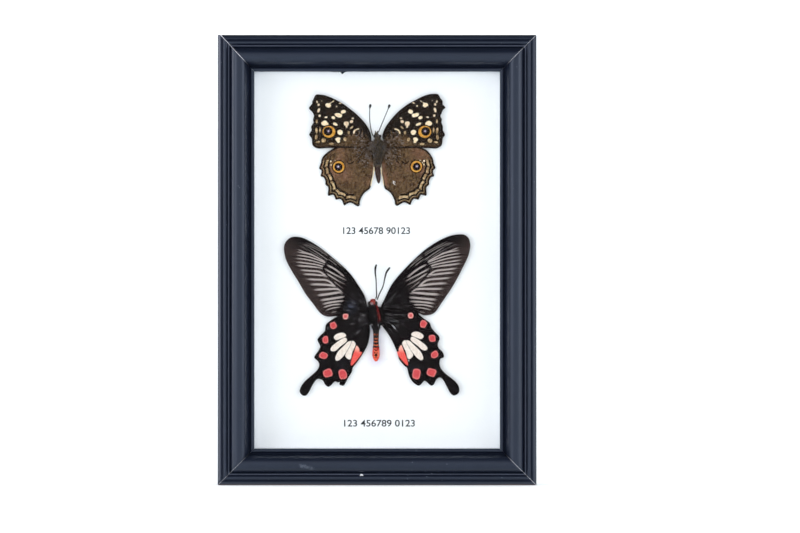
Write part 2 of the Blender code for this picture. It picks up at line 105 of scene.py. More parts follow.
def grid_faces(rows, columns, wrap_columns=False):
    """Quads between the nodes of a grid numbered row by row. Wrapped columns join last to first."""
    row = np.arange(rows - 1)[:, None]
    column = np.arange(columns if wrap_columns else columns - 1)[None, :]
    below, beside = row + 1, (column + 1) % columns
    corners = [row * columns + column, row * columns + beside,
               below * columns + beside, below * columns + column]
    return np.stack(corners, axis=-1).reshape(-1, 4)


def tube_faces(rows, columns):
    """Faces of a grid whose columns wrap round, closed at both ends with one many-sided face that is
    walked against the quads beside it, so that the whole skin faces one way."""
    ring = np.arange(columns)[None]
    return [grid_faces(rows, columns, wrap_columns=True), ring[:, ::-1], ring + (rows - 1) * columns]


def fans(faces):
    """Every face cut into triangles that share its first corner."""
    sides = faces.shape[1]
    return np.concatenate([faces[:, [0, i, i + 1]] for i in range(1, sides - 1)])


def show(name, data):
    """A new object that holds the data, linked into the scene."""
    shown = bpy.data.objects.new(name, data)
    bpy.context.scene.collection.objects.link(shown)
    return shown


def dress(node, material):
    """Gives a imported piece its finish."""
    nodes[node].material_slots[0].material = material


def add_piece(name, points, faces, finish, replaces=(), sharp=35.0, values=None):
    """One mesh object from arrays, riding on the frame's one body. faces is a list of arrays."""
    triangles = np.concatenate([fans(group) for group in faces])
    a, b, c = (points[triangles[:, i]] for i in range(3))
    if np.einsum("ij,ij->i", a, np.cross(b, c)).sum() < 0:
        faces = [group[:, ::-1] for group in faces]
    corners = np.concatenate([group.ravel() for group in faces]).astype(np.int32)
    sides = np.concatenate([np.full(len(group), group.shape[1]) for group in faces])
    mesh = bpy.data.meshes.new(name)
    mesh.vertices.add(len(points))
    mesh.vertices.foreach_set("co", points.astype(np.float32).ravel())
    mesh.loops.add(len(corners))
    mesh.loops.foreach_set("vertex_index", corners)
    mesh.polygons.add(len(sides))
    mesh.polygons.foreach_set("loop_start", (np.cumsum(sides) - sides).astype(np.int32))
    mesh.update(calc_edges=True)
    mesh.shade_smooth()
    mesh.set_sharp_from_angle(angle=math.radians(sharp))
    for label, numbers in (values or {}).items():
        layer = mesh.attributes.new(label, "FLOAT", "POINT")
        layer.data.foreach_set("value", numbers.astype(np.float32).ravel())
    mesh.materials.append(finish)
    piece = show(name, mesh)
    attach(piece, "root")
    if replaces:
        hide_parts(*replaces)
    open_edges = 2 * len(mesh.edges) - len(corners)
    print(f"{name}: {len(triangles)} triangles, {open_edges} open edges")
    return piece


def through(points, steps, closed=False):
    """A smooth line through given points: each stretch is the cubic whose slope at a point is half
    the step from the point before it to the point after it."""
    points = np.asarray(points, float)
    ends = [2 * points[:1] - points[1:2], 2 * points[-1:] - points[-2:-1]]
    if closed:
        ends = [points[-1:], points[:2]]
    padded = np.vstack([ends[0], points, ends[1]])
    a, b, c, d = (padded[i:len(padded) - 3 + i, None] for i in range(4))
    t = np.arange(steps)[None, :, None] / steps
    cubic = 2 * b + (c - a) * t + (2 * a - 5 * b + 4 * c - d) * t**2 + (3 * b - a - 3 * c + d) * t**3
    line = (cubic / 2).reshape(-1, points.shape[1])
    return line if closed else np.vstack([line, points[-1:]])


def rise(value, low, high):
    """0 below low, 1 above high and an S-shaped climb between them."""
    t = np.clip((value - low) / (high - low), 0, 1)
    return t * t * (3 - 2 * t)


print("through() of three corners:", through([(0, 0), (1, 1), (2, 0)], 2).round(2).tolist())

# %% [markdown]
# ## Shader sums as Python
#
# A node tree is easier to read as arithmetic. `Wire` wraps one output socket, and its operators add
# Math nodes, so `1 - mask` works. `Finish` is one material: it holds the tree, makes any other node
# with one method, and mixes colours with Mix nodes, because a Math node would turn them grey.

# %% Wire and Finish


class Wire:
    """A number that changes over the surface."""

    def __init__(self, finish, socket):
        self.finish, self.socket = finish, socket

    def maths(self, operation, *values):
        """A Math node fed with the values in order."""
        return self.finish.node("ShaderNodeMath", {"operation": operation}, *values)

    def __add__(self, other):
        return self.maths("ADD", self, other)

    def __sub__(self, other):
        return self.maths("SUBTRACT", self, other)

    def __rsub__(self, other):
        return self.maths("SUBTRACT", other, self)

    def __mul__(self, other):
        return self.maths("MULTIPLY", self, other)

    def __truediv__(self, other):
        return self.maths("DIVIDE", self, other)

    def __rtruediv__(self, other):
        return self.maths("DIVIDE", other, self)

    def __and__(self, other):
        """The smaller of the two, which joins two distances."""
        return self.maths("MINIMUM", self, other)

    __radd__, __rmul__, __rand__ = __add__, __mul__, __and__

    def size(self):
        """The number without its sign."""
        return self.maths("ABSOLUTE", self)


class Finish:
    """One material, written as expressions on wires."""

    def __init__(self, name, **fixed):
        self.material = bpy.data.materials.new(name)
        self.material.use_nodes = True
        self.tree = self.material.node_tree
        self.shader = self.tree.nodes["Principled BSDF"]
        for socket, value in fixed.items():
            self.shader.inputs[socket.replace("_", " ")].default_value = value
        self.place = self.node("ShaderNodeTexCoord", out="Object")

    def node(self, kind, settings=None, *values, out=0, **named):
        """Adds a node: its settings first, then its sockets by order or by name."""
        made = self.tree.nodes.new(kind)
        for setting, value in (settings or {}).items():
            setattr(made, setting, value)
        sockets = list(enumerate(values))
        sockets += [(name.replace("_", " "), value) for name, value in named.items()]
        for key, value in sockets:
            if value is not None:
                self.feed(made.inputs[key], value)
        return Wire(self, made.outputs[out])

    def feed(self, socket, value):
        """Links a wire to a socket, or gives the socket a fixed value."""
        if isinstance(value, Wire):
            self.tree.links.new(value.socket, socket)
        else:
            socket.default_value = value

    def mark(self, label):
        """A number that the mesh carries at its points."""
        return self.node("ShaderNodeAttribute", {"attribute_name": label}, out="Fac")

    def noise(self, scale, detail=3.0, rough=0.55, where=None):
        """Cloudy noise from 0 to 1 with about scale bumps a metre."""
        return self.node("ShaderNodeTexNoise", None, where or self.place, Scale=scale,
                         Detail=detail, Roughness=rough)

    def spots(self, scale):
        """Distance to the nearest of many scattered points, with about scale of them a metre."""
        return self.node("ShaderNodeTexVoronoi", None, self.place, Scale=scale)

    def stretched(self, across, height, up):
        """Object coordinates drawn out along one axis, for grain."""
        return self.node("ShaderNodeMapping", None, self.place, Scale=(across, height, up))

    def level(self):
        """Height above the frame's foot in millimetres."""
        return self.node("ShaderNodeSeparateXYZ", None, self.place, out="Z") / MM

    def near(self, point):
        """Distance in millimetres from a point given in metres."""
        distance = {"operation": "DISTANCE"}
        return self.node("ShaderNodeVectorMath", distance, self.place, point, out="Value") / MM

    def nearest(self, points):
        """Distance in millimetres from the nearest of several points given in metres."""
        gap = self.near(points[0])
        for point in points[1:]:
            gap = gap & self.near(point)
        return gap

    def ramp(self, value, low, high, start=0.0, end=1.0):
        """start below low, end above high and an S-shaped change between them."""
        return self.node("ShaderNodeMapRange", {"interpolation_type": "SMOOTHSTEP"}, value,
                         low, high, start, end)

    def inside(self, distance, at=0.0, soft=0.08):
        """1 where a distance is below a limit, with a soft edge."""
        return self.ramp(distance, at - soft, at + soft, 1.0, 0.0)

    def blend(self, share, under, over):
        """One colour over another by a share from 0 to 1."""
        made = self.tree.nodes.new("ShaderNodeMix")
        made.data_type = "RGBA"
        for key, value in ((0, share), (6, under), (7, over)):
            self.feed(made.inputs[key], value)
        return Wire(self, made.outputs[2])

    def shade(self, share, colour, amount):
        """The colour times a grey that runs from 1 down to 1 - amount with the share."""
        grey = self.blend(share, (1, 1, 1, 1), (1 - amount, 1 - amount, 1 - amount, 1))
        made = self.tree.nodes.new("ShaderNodeMix")
        made.data_type = "RGBA"
        made.blend_type = "MULTIPLY"
        for key, value in ((0, 1.0), (6, colour), (7, grey)):
            self.feed(made.inputs[key], value)
        return Wire(self, made.outputs[2])

    def bump(self, height, depth):
        """Small relief: depth in metres for a height of 1."""
        self.set(Normal=self.node("ShaderNodeBump", None, Height=height, Distance=depth))

    def set(self, **sockets):
        """Feeds the shader's own sockets by name."""
        for socket, value in sockets.items():
            self.feed(self.shader.inputs[socket.replace("_", " ")], value)


def paint(red, green, blue):
    """A screen colour from 0 to 255 as the linear light that shaders add up."""
    share = np.array([red, green, blue]) / 255.0
    light = np.where(share <= 0.04045, share / 12.92, ((share + 0.055) / 1.055) ** 2.4)
    return (*light.tolist(), 1.0)


print("mid grey in linear light:", round(paint(128, 128, 128)[0], 3))

# %% [markdown]
# ## Camera, floor and light
#
# The frame is looked at square on from a metre and a half away, with a long lens, so its sides stay
# parallel. Big soft lights stand left and right of it. The left one is stronger, which gives the
# moulding its bright left-facing slopes, and a third one a little behind the frame catches its left
# edge. A fourth fills in from the front, hidden from mirror-like reflections so that it leaves no
# glare. The room is pale all round but dark overhead, so slopes that face up stay dark. A pale floor
# sweeps up behind the frame into a wall, so no horizon shows, and it gives off a little light.

# %% Camera
VIEW_DISTANCE = 1.5
VIEW_WIDTH = 0.312  # metres seen across the frame's front
VIEW_AIM = Vector((0.00895, BACK_PLANE - 0.017, 0.0854))

camera_data = bpy.data.cameras.new("camera")
camera_data.lens = camera_data.sensor_width * VIEW_DISTANCE / VIEW_WIDTH
camera = show("camera", camera_data)
camera.location = VIEW_AIM + Vector((0, -VIEW_DISTANCE, 0))
camera.rotation_euler = (math.radians(90), 0, 0)
bpy.context.scene.camera = camera
bpy.context.scene.view_settings.view_transform = "Standard"
print(f"lens {camera_data.lens:.0f} mm")

# %% Floor and wall


def add_stage():
    """A floor that curves up into a wall: a line of (y, z) points carried across in X."""
    turn = np.radians(np.linspace(-90, 0, 25))
    bend, reach, front, top = 0.5, 1.4, -2.4, 2.4
    curve = np.stack([reach + bend * np.cos(turn), bend + bend * np.sin(turn)], axis=1)
    line = np.vstack([[(front, 0.0)], curve, [(reach + bend, top)]])
    across = np.linspace(-3.0, 3.0, 3)
    points = np.zeros((len(line), len(across), 3))
    points[..., 0] = across
    points[..., 1:] = line[:, None]
    faces = grid_faces(len(line), len(across))[:, ::-1]
    mesh = bpy.data.meshes.new("floor")
    mesh.from_pydata(points.reshape(-1, 3).tolist(), [], faces.tolist())
    mesh.shade_smooth()
    floor = show("floor", mesh)
    return floor


FLOOR_TONES = ((0.88, 0.90, 0.91, 1), (0.92, 0.94, 0.95, 1))
FLOOR_GLOW = (0.93, 0.99, 1.0, 1)

floor_finish = Finish("pale floor", Roughness=0.9, Emission_Color=FLOOR_GLOW, Emission_Strength=0.45)
floor_finish.set(Base_Color=floor_finish.blend(floor_finish.noise(3.0), *FLOOR_TONES))
floor = add_stage()
floor.data.materials.append(floor_finish.material)

# %% Lights


def add_softbox(name, azimuth, elevation, distance, width, height, radiance, colour):
    """A flat rectangular light on a circle round the frame's middle, facing it."""
    data = bpy.data.lights.new(name, "AREA")
    data.shape = "RECTANGLE"
    data.size, data.size_y = width, height
    data.energy = radiance * math.pi * width * height
    data.color = colour
    turn, lift = math.radians(azimuth), math.radians(elevation)
    out = Vector((math.sin(turn) * math.cos(lift), -math.cos(turn) * math.cos(lift), math.sin(lift)))
    light = show(name, data)
    light.location = VIEW_AIM + out * distance
    light.rotation_euler = out.to_track_quat("Z", "Y").to_euler()
    return light


add_softbox("left softbox", -52, 3, 1.5, 0.7, 1.1, 2.8, (0.97, 0.96, 1.0))
add_softbox("left rim light", -106, 3, 1.5, 0.5, 1.1, 4.2, (0.97, 0.95, 1.0))
add_softbox("right softbox", 72, 3, 1.5, 0.7, 1.1, 2.4, (0.95, 0.96, 1.0))
fill = add_softbox("glare-free fill", 0, 2, 3.0, 1.0, 1.0, 5.6, (0.96, 0.98, 1.0))
fill.visible_glossy = False


def add_studio_walls(level, above):
    """World light that is even all round and fades towards straight up."""
    world = bpy.data.worlds.new("studio")
    world.use_nodes = True
    tree = world.node_tree
    direction = tree.nodes.new("ShaderNodeTexCoord")
    split = tree.nodes.new("ShaderNodeSeparateXYZ")
    fade = tree.nodes.new("ShaderNodeMapRange")
    fade.interpolation_type = "SMOOTHSTEP"
    tree.links.new(direction.outputs["Generated"], split.inputs[0])
    tree.links.new(split.outputs["Z"], fade.inputs["Value"])
    for socket, value in (("From Min", 0.5), ("From Max", 0.97), ("To Min", level), ("To Max", above)):
        fade.inputs[socket].default_value = value
    tree.links.new(fade.outputs["Result"], tree.nodes["Background"].inputs["Strength"])
    tree.nodes["Background"].inputs["Color"].default_value = (0.97, 0.98, 1.0, 1)
    bpy.context.scene.world = world


add_studio_walls(1.2, 0.05)

# %% [markdown]
# ## The moulding
#
# A picture-frame rail is a length of wood run through a cutter, so it is one section carried along a
# straight path, with both ends cut at 45 degrees. The section, from the outer edge in, is a rounded
# edge, a fine bead, a quirk, a broad hump, a fall and the lip that holds the glass. A Curve object
# with a bevel profile would do, but a grid also lets the last tenth of a millimetre at each mitre sink
# a little. That tiny bevel is what draws a light line at a real corner.

# %% Moulding section
LIP_EDGE = 14.3
LEDGE_HEIGHT = 13.8
RABBET_START = 11.1


def round_points(centre, across, up, start, end, steps):
    """Points on an oval arc, angles in degrees."""
    turn = np.radians(np.linspace(start, end, steps))
    return np.stack([centre[0] + across * np.cos(turn), centre[1] + up * np.sin(turn)], axis=1)


def moulding_section():
    """(in from the outer edge, height above the back) all the way round the rail, in millimetres."""
    edge = through([(0.0, 16.0), (0.06, 16.3), (0.35, 16.75), (1.0, 17.6), (1.3, 17.85),
                    (1.6, 17.75)], 4)
    bead = through([(1.85, 17.4), (2.1, 17.55), (2.4, 18.15), (2.9, 18.5), (3.6, 18.3), (4.1, 17.5)], 4)
    quirk = through([(4.15, 17.4), (4.75, 17.35), (5.1, 16.9), (5.25, 17.86)], 3)
    hump = round_points((8.4, 17.2), 3.2, 3.8, 165, 30, 44)
    fall = through([(11.25, 18.7), (11.7, 17.2), (12.1, 15.8), (12.4, 14.95), (12.75, 15.35),
                    (13.1, 15.7)], 4)
    lip = [(13.4, 15.75), (14.1, 15.6), (14.24, 15.5), (LIP_EDGE, 15.3), (LIP_EDGE, LEDGE_HEIGHT)]
    rabbet = [(RABBET_START, LEDGE_HEIGHT), (RABBET_START, 0.15), (RABBET_START - 0.15, 0.0)]
    side = [(0.15, 0.0), (0.0, 0.15), (0.0, 8.0)]
    return np.vstack([side, edge, bead, quirk, hump, fall, lip, rabbet])


section = moulding_section()
print("points in the section:", len(section), " highest:", section[:, 1].max().round(2))

# %% [markdown]
# ## Blue-black lacquer
#
# The lacquer is a smooth dark coat with a trace of blue. Real ones are never even: the roughness
# drifts, the surface has a fine orange-peel and dust specks stick up. A paler grey line along one
# arris is partly wear and partly a painted highlight, and the foot is painted reddish brown as a
# painted reflection of light from below. Pale filler shows in the corner joints, most of all at the
# top left. The back of each rail is bare wood, with a ragged line of overspray. The rails carry how
# far along and across each point is, so that the wood grain runs with each rail.

# %% Lacquer finish
CHIP = [(-0.0063, -0.0072, 0.0041), (-0.0058, -0.0072, 0.0040)]
SCUFF = [(-0.0294, -0.0103, 0.0078), (-0.0282, -0.0104, 0.0076), (-0.0269, -0.0104, 0.0072),
         (-0.0254, -0.0104, 0.0067)]


def lacquer_finish():
    """Dark coat, pale joints, an arris line that is part wear and part painted highlight, a painted
    reddish reflection along the foot, the marks of use, and bare wood at the back.
    """
    finish = Finish("blue-black lacquer", Specular_Tint=(0.71, 0.81, 1.0, 1))
    across = finish.mark("across")
    peel = finish.noise(900.0, 2.0)
    drift = finish.noise(45.0, 3.0)
    dust = finish.spots(420.0)
    height = finish.mark("height")
    drawn_out = finish.node("ShaderNodeCombineXYZ", None, finish.mark("along") * 0.02, across, height)
    grain = finish.noise(1.6, 6.0, 0.6, drawn_out)
    coat = finish.blend(drift, paint(14, 19, 32), paint(20, 27, 43))
    specks = finish.inside(dust, 0.09, 0.05) * finish.ramp(finish.noise(60.0), 0.56, 0.66)
    coat = finish.blend(specks * 0.5, coat, paint(120, 128, 142))
    joint = finish.inside(finish.mark("mitre") + peel * 0.05, 0.15, 0.05) * finish.mark("open_joint")
    joint = joint * finish.inside(across, 11.0, 1.4)
    coat = finish.blend(joint * finish.ramp(drift, 0.3, 0.5, 0.7, 1.0), coat, paint(244, 244, 250))
    # Painted highlight, partly real wear: a paler grey line along the arris 4.3 mm in from the outer
    # edge.
    arris_wear_and_highlight = finish.inside((across - 4.3).size() + (drift - 0.5) * 0.3, 0.12, 0.12)
    coat = finish.blend(arris_wear_and_highlight * 0.4, coat, paint(92, 96, 116))
    wood = finish.blend(finish.ramp(grain, 0.35, 0.65), paint(176, 138, 92), paint(214, 180, 134))
    bare = finish.inside(height + peel * 0.15, 0.2, 0.08)
    # Painted reflected light: the lowest half millimetre of the frame is coloured reddish brown, as
    # light bounced up from below.
    foot = finish.inside(finish.level() + drift * 0.5, 0.5, 0.2)
    coat = finish.blend(foot * 0.8, coat, paint(104, 70, 58))
    finish.set(Base_Color=finish.blend(bare, wear_marks(finish, coat), wood))
    rough = 0.26 + drift * 0.16 + joint * 0.3
    finish.set(Roughness=rough + bare * 0.4)
    finish.bump(peel * 0.35 + grain * 0.4 + specks * 1.5, 0.00004)
    return finish.material


def wear_marks(finish, coat):
    """A chip down to white on the bottom rail, and one pale scuff, each ragged at its edge."""
    ragged = finish.noise(1400.0, 3.0)
    scuff = finish.inside(finish.nearest(SCUFF) + ragged * 2.4, 1.8, 0.7)
    chip = finish.inside(finish.nearest(CHIP) + ragged * 0.6, 0.75, 0.12)
    worn = finish.blend(scuff * 0.28, coat, paint(128, 136, 150))
    return finish.blend(chip, worn, paint(244, 246, 248))


lacquer = lacquer_finish()
print("lacquer nodes:", len(lacquer.node_tree.nodes))

# %% [markdown]
# ## Four rails
#
# Each rail's grid has the section as its columns and a few stations along the rail as its rows. A
# section point that lies `a` millimetres in from the outer edge ends `a` millimetres before the
# corner, which is the 45 degree cut. The ends are closed with one many-sided face each. At the top left
# the cut was made a little off: the top rail is short and the left one runs up past it.

# %% Rails
SIDES = ("top", "bottom", "left", "right")
MITRE_STATIONS = [(0.03, 0.09), (0.06, 0.035), (0.13, 0.0), (1.5, 0.0)]  # (cut back, sunk in)
MISFIT = {"top": (-1.2, 0.0), "left": (0.0, 1.2)}  # extra length at each end, at the outer edge
OPEN_JOINTS = {"top": (1.0, 0.55), "bottom": (0.4, 0.65), "left": (0.4, 1.0), "right": (0.65, 0.55)}


def outward(line):
    """Unit normals of a closed section, turned a quarter from the step between its neighbours."""
    step = np.roll(line, -1, axis=0) - np.roll(line, 1, axis=0)
    step /= np.linalg.norm(step, axis=1, keepdims=True)
    return np.stack([-step[:, 1], step[:, 0]], axis=1)


def add_rail(side):
    """One mitred rail: the section carried along it, sunk a little at both ends."""
    length = FRAME_WIDTH if side in ("top", "bottom") else FRAME_HEIGHT
    stations = [(-1, cut, sunk) for cut, sunk in MITRE_STATIONS]
    stations += [(1, cut, sunk) for cut, sunk in reversed(MITRE_STATIONS)]
    end, cut, sunk = (np.array(column)[:, None] for column in zip(*stations))
    normal = outward(section)
    inward = section[:, 0] - sunk * normal[:, 0]
    height = section[:, 1] - sunk * normal[:, 1]
    extra = np.where(end < 0, *MISFIT.get(side, (0.0, 0.0))) * (1 - inward / LIP_EDGE)
    along = end * (length / 2 - inward - cut + extra)
    middle = FRAME_HEIGHT / 2
    across, up = {
        "bottom": (along, inward),
        "top": (along, FRAME_HEIGHT - inward),
        "left": (inward - FRAME_WIDTH / 2, middle + along),
        "right": (FRAME_WIDTH / 2 - inward, middle + along),
    }[side]
    up = np.minimum(up, FRAME_HEIGHT - 0.1 * cut * (extra > 0))
    open_joint = np.where(end < 0, *OPEN_JOINTS[side])
    marks = {"along": along, "across": inward, "height": height,
             "mitre": cut + 0 * along, "open_joint": open_joint + 0 * along}
    return add_piece(f"lacquered_rail_{side}", in_metres(across, height, up), tube_faces(*along.shape),
                     lacquer, [f"rail_{side}"], sharp=50, values=marks)


for side in SIDES:
    add_rail(side)

# %% [markdown]
# ## A splinter on the lip
#
# A strip of lacquer has lifted from the sight edge of the top rail and hangs a little over the pane.
# It is a thin ragged plate: its drop is a low hump with a wave and one loose curl.

# %% Lip splinter


def add_splinter():
    """A strip closed round its own section, from the lip down its front and up its back."""
    share = np.linspace(0, 1, 60)[:, None]
    down = np.array([0.0, 0.35, 0.7, 1.0, 1.0, 0.7, 0.35, 0.0])[None]
    front = np.array([1, 1, 1, 1, 0, 0, 0, 0])[None]
    hump = np.sin(math.pi * share) ** 0.5
    curl = np.exp(-(((share - 0.78) / 0.1) ** 2))
    drop = hump * (0.14 + 1.05 * curl + 0.07 * np.sin(41 * share))
    across = -18.3 + 6.6 * share - 0.5 * curl * down
    up = FRAME_HEIGHT - LIP_EDGE - 0.02 - drop * down
    height = 14.55 + (0.2 * share + 0.5 * curl) * down + 0.12 * front * (0.3 + 0.7 * hump)
    marks = {"along": across, "across": 13.0 + 0 * across, "height": height, "mitre": 9.0 + 0 * across,
             "open_joint": 0 * across}
    add_piece("lip_splinter", in_metres(across, height, up), tube_faces(*across.shape), lacquer,
              values=marks)


add_splinter()

# %% [markdown]
# ## Glass, card and board
#
# A clear pane is thin, so light goes almost straight through it. A Mix Shader of a clear Transparent
# shader and a Glossy one, with Fresnel as the factor, gives its faint shine without the noise that a
# refracting pane costs. The board and its spacer strips are matt white card: nearly even, with the
# soft fibre that such card has. The board also has a few specks of dust and a faint lilac painted
# shadow beside the lower abdomen.

# %% Glass finish


def glass_finish():
    """A clear pane with a little mirror-like shine that grows at grazing angles."""
    finish = Finish("clear glass")
    clear = finish.node("ShaderNodeBsdfTransparent", None, (0.985, 0.992, 0.992, 1))
    shine = finish.node("ShaderNodeBsdfGlossy", None, (1, 1, 1, 1), 0.02)
    facing = finish.node("ShaderNodeFresnel", None, 1.12)
    pane = finish.node("ShaderNodeMixShader", None, facing, clear, shine)
    finish.tree.nodes.remove(finish.shader)
    output = next(n for n in finish.tree.nodes if n.type == "OUTPUT_MATERIAL")
    finish.tree.links.new(pane.socket, output.inputs["Surface"])
    return finish.material


dress("glass", glass_finish())
print("glass shader done")

# %% Card finishes
WHITE = (0.95, 0.955, 0.97, 1)
SPACER_WHITE = (0.88, 0.91, 0.97, 1)
PAINTED_SHADOW_LILAC = (0.66, 0.62, 0.80, 1)
# Points beside the lower abdomen round which the board gets a painted lilac shadow of the body.
PAINTED_SHADOW_LINE = in_metres(-0.6, BOARD_FACE, np.array([60.5, 56.5, 52.5, 48.5])).tolist()
BOARD_SPECKS = [(-39.8, 115.3, 0.30), (-40.6, 154.3, 0.22), (3.9, 49.0, 0.28), (44.1, 37.5, 0.24),
                (30.4, 22.1, 0.26), (6.6, 50.2, 0.2)]


def card_finish(name, white, specks=(), stain_and_painted_shadow=()):
    """Matt card with a soft fibre. specks are (across, up, radius) in millimetres, and the last
    argument is a line of points in metres with a painted lilac shadow round it."""
    finish = Finish(name, Roughness=0.85, Specular_IOR_Level=0.25)
    fibre = finish.noise(2600.0, 4.0, 0.7)
    cloud = finish.noise(30.0, 2.0)
    colour = finish.blend(cloud, white, tuple(c * 0.985 for c in white[:3]) + (1,))
    colour = finish.shade(finish.ramp(fibre, 0.58, 0.8), colour, 0.05)
    if stain_and_painted_shadow:
        # Painted shadow: a soft lilac tint on the card round the given line of points.
        painted_shadow_share = finish.inside(finish.nearest(stain_and_painted_shadow) + cloud * 1.5, 3.0, 2.8)
        colour = finish.blend(painted_shadow_share * 0.6, colour, PAINTED_SHADOW_LILAC)
    for across, up, size in specks:
        spot = finish.near((across * MM, BACK_PLANE - BOARD_FACE * MM, up * MM)) + fibre * 0.3
        colour = finish.blend(finish.inside(spot, size, 0.1) * 0.8, colour, paint(118, 126, 138))
    finish.set(Base_Color=colour)
    finish.bump(fibre, 0.00002)
    return finish.material


dress("mount_board", card_finish("white mount board", WHITE, BOARD_SPECKS, PAINTED_SHADOW_LINE))
spacer_card = card_finish("white spacer card", SPACER_WHITE)
for side in SIDES:
    dress(f"spacer_{side}", spacer_card)
print("specks on the board:", len(BOARD_SPECKS))

# %% [markdown]
# ## Plain numbers under the specimens
#
# Two small dark lines of print sit under the butterflies. Plain figures hold their place. Text is a
# curve in Blender, so it is made a mesh first, and its points are then stretched to the wanted width
# and laid on the board as a film of ink.

# %% Printed figures
INK_SUNK = 0.02
INK_THICKNESS = 0.05


def ink_finish():
    """Near-black ink, a little worn."""
    finish = Finish("printing ink", Roughness=0.7)
    worn = finish.ramp(finish.noise(3000.0, 2.0), 0.45, 0.75)
    finish.set(Base_Color=finish.blend(worn, paint(26, 26, 30), paint(58, 58, 62)))
    return finish.material


def add_figures(name, text, left, right, foot, tall, ink):
    """Figures as a thin solid: scaled to run from left to right and to stand tall millimetres high."""
    data = bpy.data.curves.new(name, "FONT")
    data.body = text
    data.extrude = 0.5
    data.offset = 0.012
    source = show(name + "_text", data)
    bpy.context.view_layer.update()
    built = source.evaluated_get(bpy.context.evaluated_depsgraph_get())
    mesh = bpy.data.meshes.new_from_object(built)
    bpy.data.objects.remove(source)
    flat = np.zeros(len(mesh.vertices) * 3, np.float32)
    mesh.vertices.foreach_get("co", flat)
    flat = flat.reshape(-1, 3)
    low, high = flat.min(0), flat.max(0)
    share = (flat - low) / (high - low)
    height = BOARD_FACE - INK_SUNK + INK_THICKNESS * share[:, 2]
    placed = in_metres(left + (right - left) * share[:, 0], height, foot + tall * share[:, 1])
    mesh.vertices.foreach_set("co", placed.astype(np.float32).ravel())
    mesh.materials.clear()
    mesh.materials.append(ink)
    mesh.update()
    piece = show(name, mesh)
    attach(piece, "root")
    print(f"{name}: {len(mesh.polygons)} faces")


ink = ink_finish()
add_figures("upper_figures", "123 45678 90123", -13.4, 12.9, 98.1, 2.75, ink)
add_figures("lower_figures", "123 456789 0123", -13.0, 14.8, 22.5, 2.7, ink)

# %% [markdown]
# ## Back fittings
#
# Behind the board lies a brown hardboard panel held by six flat steel points, and a saw-tooth hanger
# is riveted to it. Their solids are already the right shape, so they only need finishes: pressed
# fibre for the panel, and zinc plate with its cloudy spangle for the steel.

# %% Hardboard and zinc


def hardboard_finish():
    """Pressed brown fibre with darker flecks."""
    finish = Finish("brown hardboard", Specular_IOR_Level=0.3)
    fibre = finish.noise(700.0, 6.0, 0.75)
    blotch = finish.noise(60.0, 3.0)
    colour = finish.blend(finish.ramp(fibre, 0.35, 0.7), paint(92, 62, 38), paint(146, 106, 70))
    colour = finish.shade(blotch, colour, 0.35)
    dark = finish.inside(finish.spots(900.0), 0.12, 0.06) * finish.ramp(blotch, 0.5, 0.6)
    finish.set(Base_Color=finish.blend(dark * 0.6, colour, paint(48, 32, 22)))
    finish.set(Roughness=0.6 + fibre * 0.25)
    finish.bump(fibre, 0.00008)
    return finish.material


def zinc_finish():
    """Brushed zinc plate with a cloudy spangle and a few dull stains."""
    finish = Finish("zinc plate", Metallic=1.0)
    spangle = finish.spots(650.0)
    brushed = finish.noise(900.0, 4.0, 0.6, finish.stretched(0.08, 1.0, 1.0))
    colour = finish.blend(finish.ramp(spangle, 0.2, 0.8), paint(196, 198, 200), paint(164, 168, 172))
    stain_and_painted_shadow = finish.ramp(finish.noise(240.0, 5.0), 0.6, 0.75)
    finish.set(Base_Color=finish.blend(stain_and_painted_shadow * 0.5, colour, paint(120, 108, 92)))
    finish.set(Roughness=0.28 + brushed * 0.2 + stain_and_painted_shadow * 0.25)
    finish.bump(brushed * 0.5 + spangle * 0.3, 0.00002)
    return finish.material


dress("back_panel", hardboard_finish())
zinc = zinc_finish()
STEEL = [name for name in nodes if name.startswith("point_") or name == "hanger"]
for name in STEEL:
    dress(name, zinc)
print("steel pieces:", STEEL)

# %% [markdown]
# A rivet head is turned metal, so it is a profile of (radius, height) carried round an axis. The
# profile starts close to the axis at the top of the dome and ends at the foot of the shank, and a
# round face closes each end.

# %% Rivets
DOME_HEIGHT = 0.5
SHANK_RADIUS = 0.8
RIVET_BEVEL = 0.02


def add_rivet(side):
    """A domed head on a shank: profile points carried round the hole's axis."""
    low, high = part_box(f"rivet_{side}")
    middle = (low + high) / 2
    head = (high.x - low.x) / 2 / MM
    top = (BACK_PLANE - high.y) / MM
    seat, foot = top + DOME_HEIGHT, (BACK_PLANE - low.y) / MM
    dome = np.radians(np.linspace(4, 86, 12))
    shank = [SHANK_RADIUS, SHANK_RADIUS, SHANK_RADIUS - RIVET_BEVEL]
    ends = [seat - RIVET_BEVEL, seat, foot - RIVET_BEVEL, foot]
    radius = np.hstack([head * np.sin(dome), head, shank])[:, None]
    height = np.hstack([seat - DOME_HEIGHT * np.cos(dome), ends])[:, None]
    turn = np.linspace(0, 2 * math.pi, 40, endpoint=False)[None]
    across = middle.x / MM + radius * np.cos(turn)
    up = middle.z / MM + radius * np.sin(turn)
    add_piece(f"domed_rivet_{side}", in_metres(across, height, up), tube_faces(*across.shape), zinc,
              [f"rivet_{side}"])


for side in ("left", "right"):
    add_rivet(side)

# %% [markdown]
# ## How a wing is made
#
# A butterfly's wing is a dry sheet about a tenth of a millimetre thick, stiffened by veins and covered
# in coloured scales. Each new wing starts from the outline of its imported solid. A fine square net is
# laid over it, the net's border nodes are pulled onto the outline, and a second sheet behind closes
# the shell. The net's nodes then carry distances: to the wing's edge, to each vein, to each spot. The
# shader draws the markings from those distances, so their edges stay crisp at any size, and a little
# noise added to a distance gives the ragged edge that rows of scales have.

# %% Outline of a packed wing


